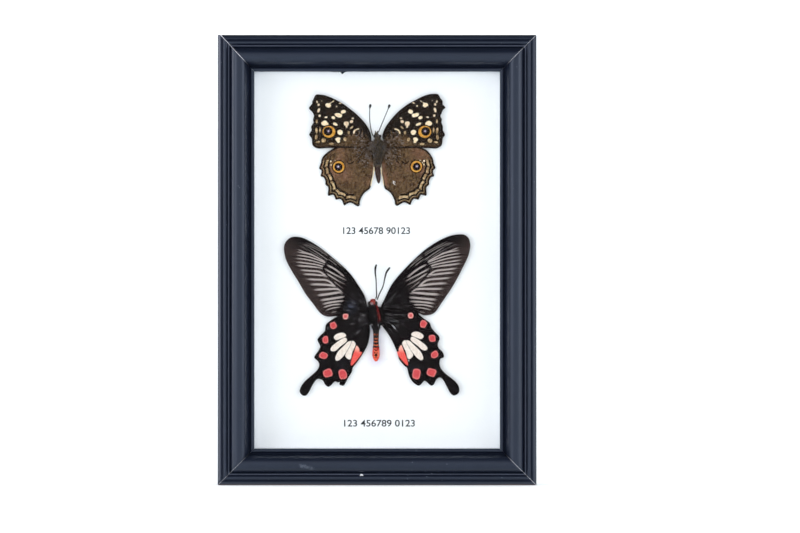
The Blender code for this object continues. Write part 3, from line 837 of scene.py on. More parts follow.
def wing_outline(node):
    """(across, up) in millimetres round the front of a packed wing: the edges of its front triangles
    that no other front triangle shares, walked in order."""
    mesh = nodes[node].data
    points = np.zeros(len(mesh.vertices) * 3, np.float32)
    mesh.vertices.foreach_get("co", points)
    corners = np.zeros(len(mesh.loops), np.int32)
    mesh.loops.foreach_get("vertex_index", corners)
    microns = np.round(points.reshape(-1, 3) * 1e6).astype(int)
    places, same = np.unique(microns, axis=0, return_inverse=True)
    triangles = same.ravel()[corners.reshape(-1, 3)]
    front = triangles[(places[triangles][..., 1] < places[:, 1].min() + 50).all(axis=1)]
    edges = np.concatenate([front[:, [0, 1]], front[:, [1, 2]], front[:, [2, 0]]])
    directed = set(map(tuple, edges.tolist()))
    follow = {a: b for a, b in directed if (b, a) not in directed}
    walk = [min(follow)]
    while follow[walk[-1]] != walk[0]:
        walk.append(follow[walk[-1]])
    return places[walk][:, [0, 2]] / 1000.0


print("points round the upper left forewing:", len(wing_outline("upper_butterfly_forewing_left")))

# %% [markdown]
# Distances to lines are worked out for all nodes at once: a node is dropped square onto every
# stretch of a line, and the nearest foot wins. Counting how often a ray from a node crosses a closed
# line says whether the node is inside it.

# %% Distances
CHUNK = 4000


def drop_on(places, line):
    """For each place: distance to a line, the nearest point on it and the share of its length there."""
    start, step = line[:-1], np.diff(line, axis=0)
    length = np.linalg.norm(step, axis=1)
    total = np.concatenate([[0.0], np.cumsum(length)])
    found = []
    for part in np.array_split(places, max(1, len(places) // CHUNK)):
        toward = part[:, None] - start[None]
        t = np.clip((toward * step).sum(-1) / np.maximum(length**2, 1e-12), 0, 1)
        gap = np.linalg.norm(toward - t[..., None] * step, axis=-1)
        best = gap.argmin(axis=1)
        row = np.arange(len(part))
        foot = start[best] + t[row, best, None] * step[best]
        share = (total[best] + t[row, best] * length[best]) / total[-1]
        found.append(np.column_stack([gap[row, best], foot, share]))
    found = np.concatenate(found)
    return found[:, 0], found[:, 1:3], found[:, 3]


def is_inside(places, loop):
    """Whether a level ray from each place crosses a closed line an odd number of times."""
    (x1, z1), (x2, z2) = loop[:-1].T, loop[1:].T
    found = []
    for part in np.array_split(places, max(1, len(places) // CHUNK)):
        x, z = part[:, :1], part[:, 1:]
        spans = (z1 > z) != (z2 > z)
        reach = x1 + (z - z1) / np.where(z2 == z1, 1e-9, z2 - z1) * (x2 - x1)
        found.append((spans & (x < reach)).sum(axis=1) % 2 == 1)
    return np.concatenate(found)


def closed(points, steps=3):
    """A smooth closed line through given points, with its first point repeated at the end."""
    line = through(points, steps, closed=True)
    return np.vstack([line, line[:1]])


def patch(places, corners):
    """Distance outside a smooth closed patch, negative inside it."""
    loop = closed(corners)
    return np.where(is_inside(places, loop), -1.0, 1.0) * drop_on(places, loop)[0]


def oval(places, across, up, length, width, turn=0.0, square=2.0):
    """Rough distance outside a turned oval, negative inside: the n-th root of |u/a|^n + |v/b|^n,
    less 1, times the smaller half width. A square above 2 fills out the corners."""
    angle = math.radians(turn)
    x, z = places[:, 0] - across, places[:, 1] - up
    u = np.abs(x * math.cos(angle) + z * math.sin(angle)) / (length / 2)
    v = np.abs(z * math.cos(angle) - x * math.sin(angle)) / (width / 2)
    return ((u**square + v**square) ** (1 / square) - 1) * min(length, width) / 2


def ovals(places, rows):
    """Distance to the nearest of several ovals."""
    return np.min([oval(places, *row) for row in rows], axis=0)


def strokes(places, rows):
    """Distance to the nearest of several tapering strokes, less its half width there, and the share
    along that stroke. A row is (half width, points)."""
    gaps, shares = [], []
    for half, points in rows:
        gap, _, share = drop_on(places, through(points, 4))
        taper = rise(share, -0.02, 0.12) * rise(1 - share, -0.02, 0.12)
        gaps.append(gap - half * (0.25 + 0.75 * taper))
        shares.append(share)
    nearest = np.argmin(gaps, axis=0)
    row = np.arange(len(places))
    return np.array(gaps)[nearest, row], np.array(shares)[nearest, row]


print("distance from the middle of a 2 x 1 oval:", oval(np.zeros((1, 2)), 0, 0, 2, 1)[0])

# %% [markdown]
# The net's spacing is about a sixth of a millimetre. A node less than half a cell outside the wing
# is kept and pulled onto the outline, and so is any kept node beside a dropped one. That way every
# border node lies on the true outline.

# %% Net over a wing
CELL = 0.16


def wing_net(outline):
    """Nodes (mm), their depth inside the edge, the faces, and the border edges of one sheet."""
    loop = closed(outline)
    low, high = loop.min(0) - 1.5 * CELL, loop.max(0) + 1.5 * CELL
    x, z = (np.arange(low[i], high[i] + CELL, CELL) for i in range(2))
    places = np.stack(np.meshgrid(x, z), axis=-1).reshape(-1, 2)
    gap, foot, _ = drop_on(places, loop)
    inner = np.where(is_inside(places, loop), gap, -gap)
    kept = (inner > -CELL / 2).reshape(len(z), len(x))
    around = np.pad(kept, 1)
    walled = around[:-2, 1:-1] & around[2:, 1:-1] & around[1:-1, :-2] & around[1:-1, 2:]
    pulled = (kept & ~walled).ravel() | (kept.ravel() & (inner < 0))
    places[pulled] = foot[pulled]
    inner[pulled] = 0.0
    quads = grid_faces(len(z), len(x))
    held = kept.ravel()[quads]
    whole, cornered = quads[held.sum(1) == 4], held.sum(1) == 3
    missing = (~held[cornered]).argmax(axis=1)
    triples = np.take_along_axis(quads[cornered], (missing[:, None] + [1, 2, 3]) % 4, axis=1)
    used = np.unique(np.concatenate([whole.ravel(), triples.ravel()]))
    whole, triples = np.searchsorted(used, whole), np.searchsorted(used, triples)
    return places[used], np.maximum(inner[used], 0.0), [whole, triples], border_edges([whole, triples])


def border_edges(faces):
    """Directed edges that only one face has."""
    pairs = [np.stack([group, np.roll(group, -1, axis=1)], axis=-1) for group in faces]
    edges = np.concatenate([pair.reshape(-1, 2) for pair in pairs])
    start, end = edges.T
    scale = edges.max() + 1
    return edges[~np.isin(start * scale + end, end * scale + start)]


test_net = wing_net(wing_outline("upper_butterfly_forewing_left"))
print("nodes:", len(test_net[0]), " border edges:", len(test_net[3]))

# %% [markdown]
# A dried wing is not flat. It lifts a little away from the body, it is gently buckled, its veins stand
# up as ribs and the skin between them sags. All wings share the same lift and buckle, so that where a
# forewing and a hindwing overlap they keep their distance.

# %% Wing surface
WING_THICKNESS = 0.11
LIFT = 0.9  # at 36 mm from the body
BUCKLE = 0.09
RIB_HEIGHT = 0.07
SKIN_SAG = 0.03
BELOW_SOLID = 0.05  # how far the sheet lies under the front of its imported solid
FAR = 9.0  # a distance that draws nothing
SCRATCHES = {  # half width and points from the specimen's centre
    "upper_butterfly_hindwing_right": [
        (0.13, [(6.1, -13.3), (6.55, -13.7), (6.3, -14.1), (7.1, -14.9)]),
        (0.1, [(6.9, -13.5), (7.0, -14.2)]),
    ],
    "lower_butterfly_hindwing_right": [
        (0.15, [(6.0, -3.9), (6.7, -4.6), (7.4, -5.5)]),
        (0.06, [(5.4, -2.2), (8.6, -2.9)]),
        (0.2, [(12.5, -17.8), (12.8, -18.2)]),
    ],
    "lower_butterfly_hindwing_left": [(0.02, [(-19.5, -5.6), (-19.1, -5.0), (-18.5, -4.7)])],
}


def wing_height(centred, seat, vein, inner):
    """Height of a wing's front: its seat, a lift with the square of the distance from the body, two
    crossed waves, a rib along each vein and a slight fall at the very edge."""
    x, z = centred[:, 0], centred[:, 1]
    lift = LIFT * (x / 36) ** 2
    buckle = BUCKLE * np.sin(0.33 * x + 1.2) * np.cos(0.41 * z + 0.4)
    rib = RIB_HEIGHT * np.exp(-((vein / 0.16) ** 2)) - SKIN_SAG * rise(vein, 0.4, 1.6)
    return seat + lift + buckle + rib * rise(inner, 0.0, 0.8)


def add_wing(name, centre, finish, mark_wing, to_template):
    """A closed two-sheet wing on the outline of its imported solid, with its markings' distances. Every
    marker is given the places and their depth inside the edge, whether or not it needs the depth."""
    nodes_mm, inner, faces, border = wing_net(wing_outline(name))
    centred = nodes_mm - centre
    marks = mark_wing(to_template(centred), inner)
    marks["scratch"] = strokes(centred, SCRATCHES[name])[0] if name in SCRATCHES else 0 * inner + FAR
    seat = (BACK_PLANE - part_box(name)[0].y) / MM - BELOW_SOLID
    front = wing_height(centred, seat, marks["vein"], inner)
    thick = WING_THICKNESS * (0.45 + 0.55 * rise(inner, 0.0, 0.5))
    points = np.vstack([in_metres(nodes_mm[:, 0], front, nodes_mm[:, 1]),
                        in_metres(nodes_mm[:, 0], front - thick, nodes_mm[:, 1])])
    count = len(nodes_mm)
    back = [group[:, ::-1] + count for group in faces]
    rim = np.column_stack([border[:, 1], border[:, 0], border[:, 0] + count, border[:, 1] + count])
    quads, triples = np.vstack([faces[0], back[0], rim]), np.vstack([faces[1], back[1]])
    marks["rim"] = inner
    doubled = {label: np.concatenate([numbers, numbers]) for label, numbers in marks.items()}
    return add_piece(f"{name}_scaled", points, [quads, triples], finish, [name], values=doubled)


def onto(template, wing):
    """The straight-line map that carries three landmarks of this wing onto three of the left one."""
    source = np.column_stack([np.array(wing, float), np.ones(3)])
    matrix = np.linalg.solve(source, np.array(template, float))
    return lambda places: np.column_stack([places, np.ones(len(places))]) @ matrix


def as_it_is(places):
    """The left wing is its own template."""
    return places


def add_wings(specimen, centre, finish, markers, landmarks):
    """Both forewings and then both hindwings, the left one of each pair first."""
    for pair in ("forewing", "hindwing"):
        for side, carry in (("left", as_it_is), ("right", onto(*landmarks[pair]))):
            add_wing(f"{specimen}_{pair}_{side}", centre, finish, markers[pair], carry)


mirror = onto([(-1, 0), (0, 1), (0, 0)], [(1, 0), (0, 1), (0, 0)])
print("a mirrored landmark:", mirror(np.array([[1.0, 1.0]])))

# %% [markdown]
# ## The upper butterfly
#
# It is brown: near-black forewing tips with cream spots, an orange-ringed eyespot on each
# wing, and a grey-brown hindwing with a scalloped edge and rows of tan marks along it. Each marking is
# a short row of numbers about the left wing, in millimetres from the specimen's centre. The right wing
# borrows them through a map between three landmarks.

# %% Brown forewing markings
BROWN_CREAM = [  # across, up, length, width, turn, squareness
    (-15.9, 15.9, 0.8, 0.8, 0), (-13.3, 13.8, 2.1, 1.6, 20, 2.6), (-15.2, 12.4, 3.4, 1.6, -15, 2.6),
    (-17.2, 11.4, 1.8, 1.3, -20, 2.4), (-20.1, 11.6, 1.5, 0.65, 10), (-16.4, 8.9, 2.4, 1.1, -27, 2.4),
    (-21.8, 18.0, 0.6, 0.4, 0),
]
BROWN_CREAM_SHAPES = [
    [(-20.3, 16.3), (-19.8, 17.1), (-18.8, 17.1), (-17.0, 18.1), (-17.2, 17.7), (-18.4, 16.9),
     (-18.1, 16.1), (-18.9, 15.4), (-19.8, 15.8)],
    [(-21.9, 9.2), (-21.4, 9.9), (-20.5, 10.3), (-19.7, 9.9), (-19.1, 8.9), (-19.9, 8.4), (-21.3, 8.4)],
    [(-15.6, 6.1), (-14.8, 6.7), (-13.9, 6.4), (-13.5, 5.7), (-14.1, 4.7), (-15.1, 4.9)],
    [(-16.4, 3.0), (-15.6, 3.7), (-14.6, 3.6), (-14.4, 3.0), (-14.8, 2.6), (-14.6, 1.9), (-15.4, 1.5),
     (-15.9, 2.2)],
]
BROWN_HOOK = [(0.3, [(-9.2, 5.25), (-8.85, 6.3), (-8.1, 6.85), (-7.05, 7.1)])]
BROWN_TAN = [
    (-12.1, 9.1, 1.9, 1.7, 0, 2.6), (-12.0, 8.0, 0.7, 1.1, 10), (-10.1, 9.9, 1.4, 1.1, 30),
    (-9.6, 11.2, 0.8, 0.6, 0), (-14.5, 17.1, 1.1, 0.5, 20), (-22.96, 16.5, 1.0, 0.8, 60),
    (-22.96, 14.3, 0.9, 1.8, -20, 2.6), (-22.6, 12.2, 0.9, 0.9, 0), (-23.6, 17.6, 0.6, 1.0, 20),
]
BROWN_MARGIN_TAN = [
    (-22.4, 6.6, 0.6, 2.0, 0), (-23.8, 6.4, 0.9, 2.2, 5), (-23.9, 3.8, 1.0, 1.9, -5),
    (-23.3, 1.9, 1.6, 0.7, 10), (-21.0, 2.5, 1.8, 1.6, 10), (-23.7, 10.0, 0.7, 1.5, 0),
    (-17.9, 1.2, 1.8, 0.9, 0), (-12.6, 3.0, 1.2, 1.5, 20), (-11.2, 5.6, 0.9, 1.2, 10),
    (-10.0, 7.6, 1.4, 0.6, 40),
]
BROWN_FORE_DARK = [
    (0.42, [(-7.9, 4.1), (-8.0, 5.4), (-7.2, 6.3), (-6.0, 6.9)]),
    (0.46, [(-10.2, 4.4), (-10.1, 6.2), (-9.3, 7.5), (-8.1, 8.3), (-7.0, 9.0)]),
    (0.34, [(-12.2, 6.9), (-10.9, 7.9), (-10.3, 9.2), (-8.9, 10.2)]),
    (0.3, [(-4.6, 3.6), (-5.3, 5.0), (-4.9, 6.6)]), (0.3, [(-6.4, 3.2), (-6.7, 4.9), (-6.0, 7.2)]),
    (0.35, [(-11.4, 11.9), (-13.4, 11.8), (-15.3, 10.6), (-18.4, 10.2)]),
]
BROWN_FORE_VEINS = [
    [(-2.5, 3.9), (-8.0, 11.0), (-14.0, 15.9), (-22.2, 19.9)],
    [(-2.6, 3.4), (-10.2, 9.6), (-17.4, 15.0), (-25.2, 17.7)],
    [(-2.6, 3.4), (-11.2, 8.6), (-18.0, 13.6), (-26.2, 15.2)],
    [(-11.2, 8.6), (-18.0, 10.4), (-25.0, 11.0)],
    [(-10.4, 6.8), (-17.4, 7.8), (-25.4, 8.2)], [(-2.6, 2.9), (-9.6, 5.2), (-17.0, 4.4), (-26.2, 4.9)],
    [(-2.6, 2.9), (-9.6, 3.4), (-17.0, 1.6), (-25.2, 1.4)], [(-2.6, 1.4), (-12.0, 0.4), (-23.0, -0.1)],
]


def angle_about(places, x, z):
    """Bearing in degrees of each place about a point, from 0 to 360."""
    return np.degrees(np.arctan2(places[:, 1] - z, places[:, 0] - x)) % 360


def veins_near(places, lines):
    """Distance to the nearest of several veins."""
    return np.min([drop_on(places, through(line, 4))[0] for line in lines], axis=0)


def patches(places, shapes):
    """Distance to the nearest of several patches."""
    return np.min([patch(places, corners) for corners in shapes], axis=0)


def mark_brown_forewing(places, inner):
    """Distances to the forewing's spots, hook, eyespot and veins."""
    across, up = places.T
    costa = veins_near(places, BROWN_FORE_VEINS[:1])
    spots = np.minimum(ovals(places, BROWN_CREAM) + 0.11, strokes(places, BROWN_HOOK)[0])
    from_root = np.hypot(across + 3, 1.5 * up - 1.5)
    tip = rise(from_root, 7.5, 13.5) * (0.4 + 0.6 * rise(up, 0.8, 3.6))
    return {
        "cream": np.minimum(spots, patches(places, BROWN_CREAM_SHAPES)),
        "tan": ovals(places, BROWN_TAN),
        "dull": ovals(places, BROWN_MARGIN_TAN),
        "dark": strokes(places, BROWN_FORE_DARK)[0],
        "ring": oval(places, -18.95, 5.9, 5.0, 4.6),
        "core": oval(places, -19.3, 6.1, 3.5, 3.4),
        "pupil": oval(places, -19.1, 6.2, 1.1, 1.0),
        "outer": np.maximum(tip, 1 - rise(costa, 0.3, 1.5)),
        "rust": np.zeros(len(places)),
        "vein": veins_near(places, BROWN_FORE_VEINS),
    }


print("forewing spots:", len(BROWN_CREAM) + len(BROWN_TAN))

# %% [markdown]
# The hindwing's tan marks follow its scalloped edge: a dark edge, a thin pale line, a dark line and
# then a row of patches, cut by the veins. Their distances come from the depth inside the edge, so they
# follow each scallop by themselves.

# %% Brown hindwing markings
BROWN_HIND_DARK = [
    (0.18, [(-9.0, -5.6), (-10.8, -6.7), (-12.0, -5.4)]),
    (0.16, [(-5.6, -2.4), (-7.4, -3.8), (-6.9, -5.4), (-8.3, -6.6)]),
]
BROWN_HIND_PALE = [(0.12, [(-18.3, -8.3), (-17.9, -9.5), (-17.1, -10.4)])]
BROWN_HIND_DOTS = [(-18.2, -5.7, 0.8, 0.9, 0), (-17.3, -6.4, 0.7, 0.7, 0),
                   (-16.4, -5.5, 0.8, 0.6, 0), (-18.1, -7.1, 0.6, 0.8, 0)]
BROWN_HIND_VEINS = [
    [(-2.4, 0.0), (-9.0, -1.4), (-16.0, -2.4), (-22.0, -5.6)],
    [(-2.4, -0.6), (-9.5, -4.0), (-16.4, -7.0), (-22.6, -8.6)],
    [(-9.5, -4.0), (-15.5, -9.0), (-22.0, -11.6)], [(-8.8, -5.2), (-13.8, -11.0), (-20.2, -14.3)],
    [(-8.4, -5.6), (-12.0, -13.0), (-19.2, -18.9)],
    [(-2.2, -1.4), (-8.0, -6.6), (-10.4, -14.0), (-13.3, -22.4)],
    [(-2.0, -2.0), (-5.6, -8.6), (-7.4, -15.0), (-7.6, -23.0)],
    [(-1.8, -2.6), (-3.4, -8.0), (-4.6, -13.4), (-5.0, -17.6)],
]


def mark_brown_hindwing(places, inner):
    """Distances to the hindwing's eyespot, edge marks, lines and veins."""
    across, up = places.T
    bearing = angle_about(places, -4.0, -4.0)
    before_corner = -0.45 * (up + 22.8) - 0.89 * (across + 6.7)
    margin = rise(bearing, 176, 192) * rise(before_corner, -0.1, 0.3)
    vein = veins_near(places, BROWN_HIND_VEINS)
    row = np.maximum(np.abs(inner - 2.28) - 0.44, 0.36 - vein)
    inner_margin = rise(up, -16.5, -15.0) * rise(-5.5 - up, 0, 1.5) * rise(across, -5.5, -4.5)
    thick = 0.34 + 0.22 * rise(up, -11.5, -9.0)
    edge_line = inner - thick + 3 * (1 - inner_margin)
    dark_lines = np.minimum(np.abs(inner - 1.5) - 0.42, np.abs(inner - 3.05) - 0.4)
    pinkish = rise(np.hypot(across + 2, up + 2), 8.5, 16) * rise(up, -17, -8)
    return {
        "cream": np.minimum(ovals(places, BROWN_HIND_DOTS) + 0.08, edge_line),
        "tan": np.full(len(places), FAR),
        "dull": np.where(margin > 0.5, np.minimum(row, np.abs(inner - 1.02) - 0.08),
                         strokes(places, BROWN_HIND_PALE)[0]),
        "dark": np.minimum(strokes(places, BROWN_HIND_DARK)[0],
                           np.where(margin > 0.5, dark_lines, FAR)),
        "ring": oval(places, -15.1, -7.85, 4.5, 4.5),
        "core": oval(places, -15.2, -7.9, 3.2, 3.2),
        "pupil": oval(places, -15.3, -7.75, 1.15, 1.1),
        "outer": np.zeros(len(places)),
        "rust": np.maximum(pinkish, 1.5 * inner_margin * rise(2.6 - inner, 0, 1.8)),
        "vein": vein,
    }


print("hindwing lines:", len(BROWN_HIND_DARK) + len(BROWN_HIND_PALE))

# %% [markdown]
# The brown wings' finish lays its colours down in the order in which the pattern reads: ground, fine
# speckle of scales, margin lines, dull marks, cream marks, and the eyespot on top. Scales lie in rows,
# so a fine bump with a tight noise gives the surface its dry, velvety look.

# %% Brown wing finish
UPPER_MIDDLE = in_metres(UPPER_CENTRE[0], 8.0, UPPER_CENTRE[1] + 0.5)[0].tolist()


def brown_wing_finish():
    """Ground and speckle, edge and veins, the marks, and the eyespot on top."""
    finish = Finish("brown wing scales", Specular_IOR_Level=0.08, Sheen_Weight=0.03,
                    Sheen_Roughness=0.5)
    fine, mid, broad = finish.noise(3800.0, 2.0), finish.noise(1100.0, 4.0), finish.noise(160.0, 3.0)
    ragged = (finish.noise(1900.0, 3.0) - 0.5) * 0.5
    rim, vein, outer = finish.mark("rim"), finish.mark("vein"), finish.mark("outer")

    ground = finish.blend(finish.ramp(mid, 0.35, 0.66), paint(56, 39, 22), paint(99, 76, 49))
    rust = finish.mark("rust") * finish.ramp(broad, 0.35, 0.6)
    ground = finish.blend(rust * 0.7, ground, paint(142, 98, 76))
    pinkish = finish.ramp(finish.noise(420.0, 4.0), 0.52, 0.68) * finish.ramp(broad, 0.42, 0.6)
    ground = finish.blend(pinkish * 0.4, ground, paint(140, 106, 88))
    speckle = finish.noise(1700.0, 3.0, 0.7)
    ground = finish.blend(finish.ramp(speckle, 0.5, 0.68) * 0.55, ground, paint(150, 120, 92))
    ground = finish.blend(finish.ramp(1 - speckle, 0.52, 0.68) * 0.6, ground, paint(34, 23, 15))
    sparkle = finish.ramp(speckle, 0.58, 0.68) * finish.inside(finish.near(UPPER_MIDDLE), 8.0, 4.0)
    ground = finish.blend(sparkle * finish.ramp(broad, 0.42, 0.55) * 0.75, ground, paint(214, 198, 194))
    tip = finish.blend(finish.ramp(mid, 0.45, 0.7), paint(20, 12, 8), paint(46, 32, 20))
    ground = finish.blend(finish.ramp(outer + (mid - 0.5) * 0.6, 0.1, 0.7), ground, tip)
    ground = finish.shade(finish.ramp(fine, 0.4, 0.7), ground, 0.3)

    edge = finish.inside(rim + ragged * 0.4, 0.7, 0.14)
    ground = finish.blend(edge * 0.95, ground, paint(22, 13, 9))
    ground = finish.blend(finish.inside(vein, 0.06, 0.1) * 0.5, ground, paint(34, 22, 14))
    dark = finish.inside(finish.mark("dark") + ragged * 0.2, 0.05, 0.06)
    ground = finish.blend(dark, ground, paint(17, 9, 6))

    dull = finish.blend(finish.ramp(mid, 0.4, 0.65), paint(150, 121, 84), paint(220, 192, 148))
    in_dull = finish.inside(finish.mark("dull") + ragged * 0.3, 0.0, 0.12)
    ground = finish.blend(in_dull * 0.9, ground, dull)
    tan = finish.blend(finish.ramp(mid, 0.36, 0.6), paint(214, 184, 150), paint(240, 220, 188))
    in_tan = finish.inside(finish.mark("tan") + ragged * 0.5, 0.0, 0.12)
    ground = finish.blend(in_tan * 0.92, ground, tan)
    cream = finish.blend(finish.ramp(mid, 0.35, 0.7), paint(246, 230, 200), paint(228, 202, 160))
    corners = (finish.noise(520.0, 1.0) - 0.5) * 0.5
    spot = finish.inside(finish.mark("cream") + ragged * 0.6 + corners, 0.0, 0.1)
    ground = finish.blend(spot, ground, cream)

    ring, core, pupil = finish.mark("ring"), finish.mark("core"), finish.mark("pupil")
    ochre = finish.blend(finish.ramp(mid, 0.35, 0.7), paint(216, 160, 70), paint(180, 120, 44))
    eye = finish.blend(finish.inside(ring + ragged * 0.15, 0.46, 0.12), ground, paint(20, 11, 7))
    eye = finish.blend(finish.inside(ring + ragged * 0.15, 0.0, 0.12), eye, ochre)
    eye = finish.blend(finish.inside(core + ragged * 0.15, 0.0, 0.12), eye, paint(14, 6, 5))
    eye = finish.blend(finish.inside(pupil + ragged * 0.3, 0.05, 0.2) * 0.7, eye, paint(120, 100, 122))
    eye = finish.blend(finish.inside(pupil, -0.3, 0.12), eye, paint(236, 226, 236))
    scratch = finish.inside(finish.mark("scratch") + ragged * 0.2, 0.0, 0.06)
    finish.set(Base_Color=finish.blend(scratch, eye, paint(228, 226, 222)))
    finish.set(Roughness=0.62 + fine * 0.25)
    finish.bump(fine * 0.5 + mid * 0.5, 0.00003)
    return finish.material


brown_wing = brown_wing_finish()
print("brown wing nodes:", len(brown_wing.node_tree.nodes))

# %% Upper wings
UPPER_LANDMARKS = {  # three places on the left wing, and the same three on the right one
    "forewing": ([(-2.3, 3.9), (-24.1, 20.4), (-24.6, -0.1)], [(2.0, 3.8), (23.9, 20.6), (24.3, -0.2)]),
    "hindwing": ([(-2.2, 0.8), (-22.8, -8.4), (-7.8, -23.3)], [(3.0, 0.8), (22.9, -8.2), (7.9, -23.1)]),
}
brown_markers = {"forewing": mark_brown_forewing, "hindwing": mark_brown_hindwing}
add_wings("upper_butterfly", UPPER_CENTRE, brown_wing, brown_markers, UPPER_LANDMARKS)

# %% [markdown]
# ## The lower butterfly
#
# It is a black swallowtail. Its forewings fade to grey between the veins, in long pale stripes that
# run in pairs with a fold between them. The hindwings carry four cream petals round the cell, a
# coral-pink wedge beside the abdomen, coral spots along the edge and a spoon-shaped tail.

# %% Black forewing markings
BLACK_STRIPES = [  # half width, points from the margin inwards
    (0.22, [(-29.9, 28.3), (-26.3, 26.3), (-22.5, 23.9), (-19.6, 21.9)]),
    (0.22, [(-30.9, 27.5), (-25.9, 24.95), (-20.1, 21.5)]),
    (0.26, [(-31.6, 26.0), (-28.3, 24.7), (-25.6, 23.9)]),
    (0.34, [(-32.1, 24.9), (-25.9, 23.7), (-20.9, 21.3)]),
    (0.34, [(-32.4, 23.6), (-26.3, 22.7), (-20.1, 20.5)]),
    (0.34, [(-32.5, 22.3), (-26.8, 21.6), (-20.8, 20.0)]),
    (0.36, [(-32.5, 20.9), (-27.5, 20.3), (-23.5, 19.7), (-20.6, 18.9)]),
    (0.42, [(-32.0, 19.5), (-27.5, 19.1), (-23.5, 18.75), (-21.2, 18.4)]),
    (0.42, [(-30.7, 17.7), (-25.9, 17.3), (-22.5, 17.0), (-20.4, 15.7)]),
    (0.45, [(-29.5, 16.0), (-25.9, 15.9), (-22.5, 15.6), (-20.0, 15.2)]),
    (0.45, [(-28.3, 14.1), (-24.4, 13.9), (-19.6, 13.6), (-16.9, 11.9)]),
    (0.5, [(-26.9, 11.9), (-23.5, 12.0), (-19.6, 11.8), (-15.9, 11.3)]),
    (0.5, [(-25.4, 9.8), (-21.1, 10.0), (-15.5, 10.2), (-13.6, 9.1)]),
    (0.55, [(-23.9, 7.6), (-19.6, 8.1), (-15.5, 8.7), (-12.9, 8.7)]),
    (0.52, [(-22.7, 5.6), (-17.5, 6.4), (-12.4, 7.2)]),
    (0.45, [(-21.8, 4.1), (-17.5, 5.0), (-12.6, 5.6)]),
    (0.38, [(-21.3, 2.8), (-17.5, 3.9), (-13.8, 4.2)]),
    (0.32, [(-20.3, 1.6), (-17.0, 2.7), (-14.1, 3.0)]),
    (0.2, [(-17.9, 0.9), (-15.8, 1.3)]), (0.2, [(-19.2, 22.2), (-15.5, 19.3)]),
]
REACH_CELL = 12  # the first so many stripes run right up to the cell
BLACK_CELL_STRIPES = [
    (0.42, [(-20.0, 19.9), (-16.3, 17.9), (-12.4, 14.8)]),
    (0.38, [(-21.0, 18.4), (-16.3, 15.8), (-11.4, 13.3)]),
    (0.36, [(-20.2, 16.6), (-15.1, 13.4), (-11.9, 11.8)]), (0.3, [(-17.0, 13.3), (-12.7, 10.0)]),
]
BLACK_FINE_LINES = [
    (0.09, [(-29.6, 28.5), (-22.2, 25.1), (-15.9, 20.8), (-12.8, 18.1)]),
    (0.08, [(-27.3, 28.3), (-21.0, 25.1), (-14.3, 20.4)]),
]
BLACK_FORE_VEINS = [
    [(-3.5, 4.0), (-11.4, 14.8), (-19.3, 20.8), (-30.6, 29.6)], [(-19.3, 20.8), (-31.4, 28.2)],
    [(-19.3, 20.8), (-26.4, 24.6), (-34.2, 26.8)], [(-20.1, 19.9), (-27.0, 22.2), (-34.6, 23.2)],
    [(-20.9, 18.4), (-27.0, 19.7), (-33.6, 20.2)], [(-20.9, 17.9), (-25.5, 18.1), (-32.4, 18.6)],
    [(-19.4, 15.3), (-24.4, 14.9), (-30.6, 15.2)], [(-15.0, 11.0), (-21.1, 10.9), (-28.4, 11.0)],
    [(-12.9, 9.0), (-18.7, 7.25), (-25.2, 6.6)],
    [(-4.0, 3.0), (-11.0, 3.4), (-17.5, 2.2), (-22.4, 0.8)],
    [(-3.6, 3.2), (-8.6, 5.6), (-12.9, 9.0), (-17.0, 12.6), (-20.9, 17.9), (-20.1, 19.6),
     (-19.3, 20.8)],
]
BLACK_CELL = [(-3.6, 3.2), (-12.9, 9.0), (-17.0, 12.6), (-20.9, 17.9), (-20.1, 19.6), (-19.3, 20.8),
              (-11.4, 14.8)]
NOTHING = {"red": FAR, "faded": 0.0, "petal": FAR, "wedge": FAR}


def lengthened(line, extra):
    """A line carried straight on past its last point."""
    last, step = np.array(line[-1]), np.subtract(line[-1], line[-2])
    return [*line, tuple(last + extra * step / np.linalg.norm(step))]


def mark_black_forewing(places, inner):
    """Distances to the pale stripes and the veins; how far a stripe has faded towards the margin."""
    in_cell = is_inside(places, closed(BLACK_CELL))
    to_cell = [(half, lengthened(line, 1.3)) for half, line in BLACK_STRIPES[:REACH_CELL]]
    outer_gap, outer_share = strokes(places, to_cell + BLACK_STRIPES[REACH_CELL:])
    cell_gap, cell_share = strokes(places, BLACK_CELL_STRIPES)
    gap, share = np.where(in_cell, [cell_gap, cell_share], [outer_gap, outer_share])
    from_base = np.hypot(places[:, 0] + 3.5, places[:, 1] - 3.0)
    marks = {label: np.full(len(places), value) for label, value in NOTHING.items()}
    fine = strokes(places, BLACK_FINE_LINES)[0]
    marks["stripe"] = np.minimum(gap + 0.1, fine)
    paler_outward = np.where(in_cell, rise(from_base, 11, 20), rise(from_base, 7, 13))
    marks["fade"] = rise(share, 0.0, 0.25) * paler_outward
    marks["grey"] = rise(from_base, 9, 20) * rise(angle_about(places, -3.5, 3.0), 134, 145)
    marks["vein"] = np.minimum(veins_near(places, BLACK_FORE_VEINS[:-1]),
                               veins_near(places, BLACK_FORE_VEINS[-1:]) - 0.13)
    return marks


print("stripes:", len(BLACK_STRIPES), " veins:", len(BLACK_FORE_VEINS))

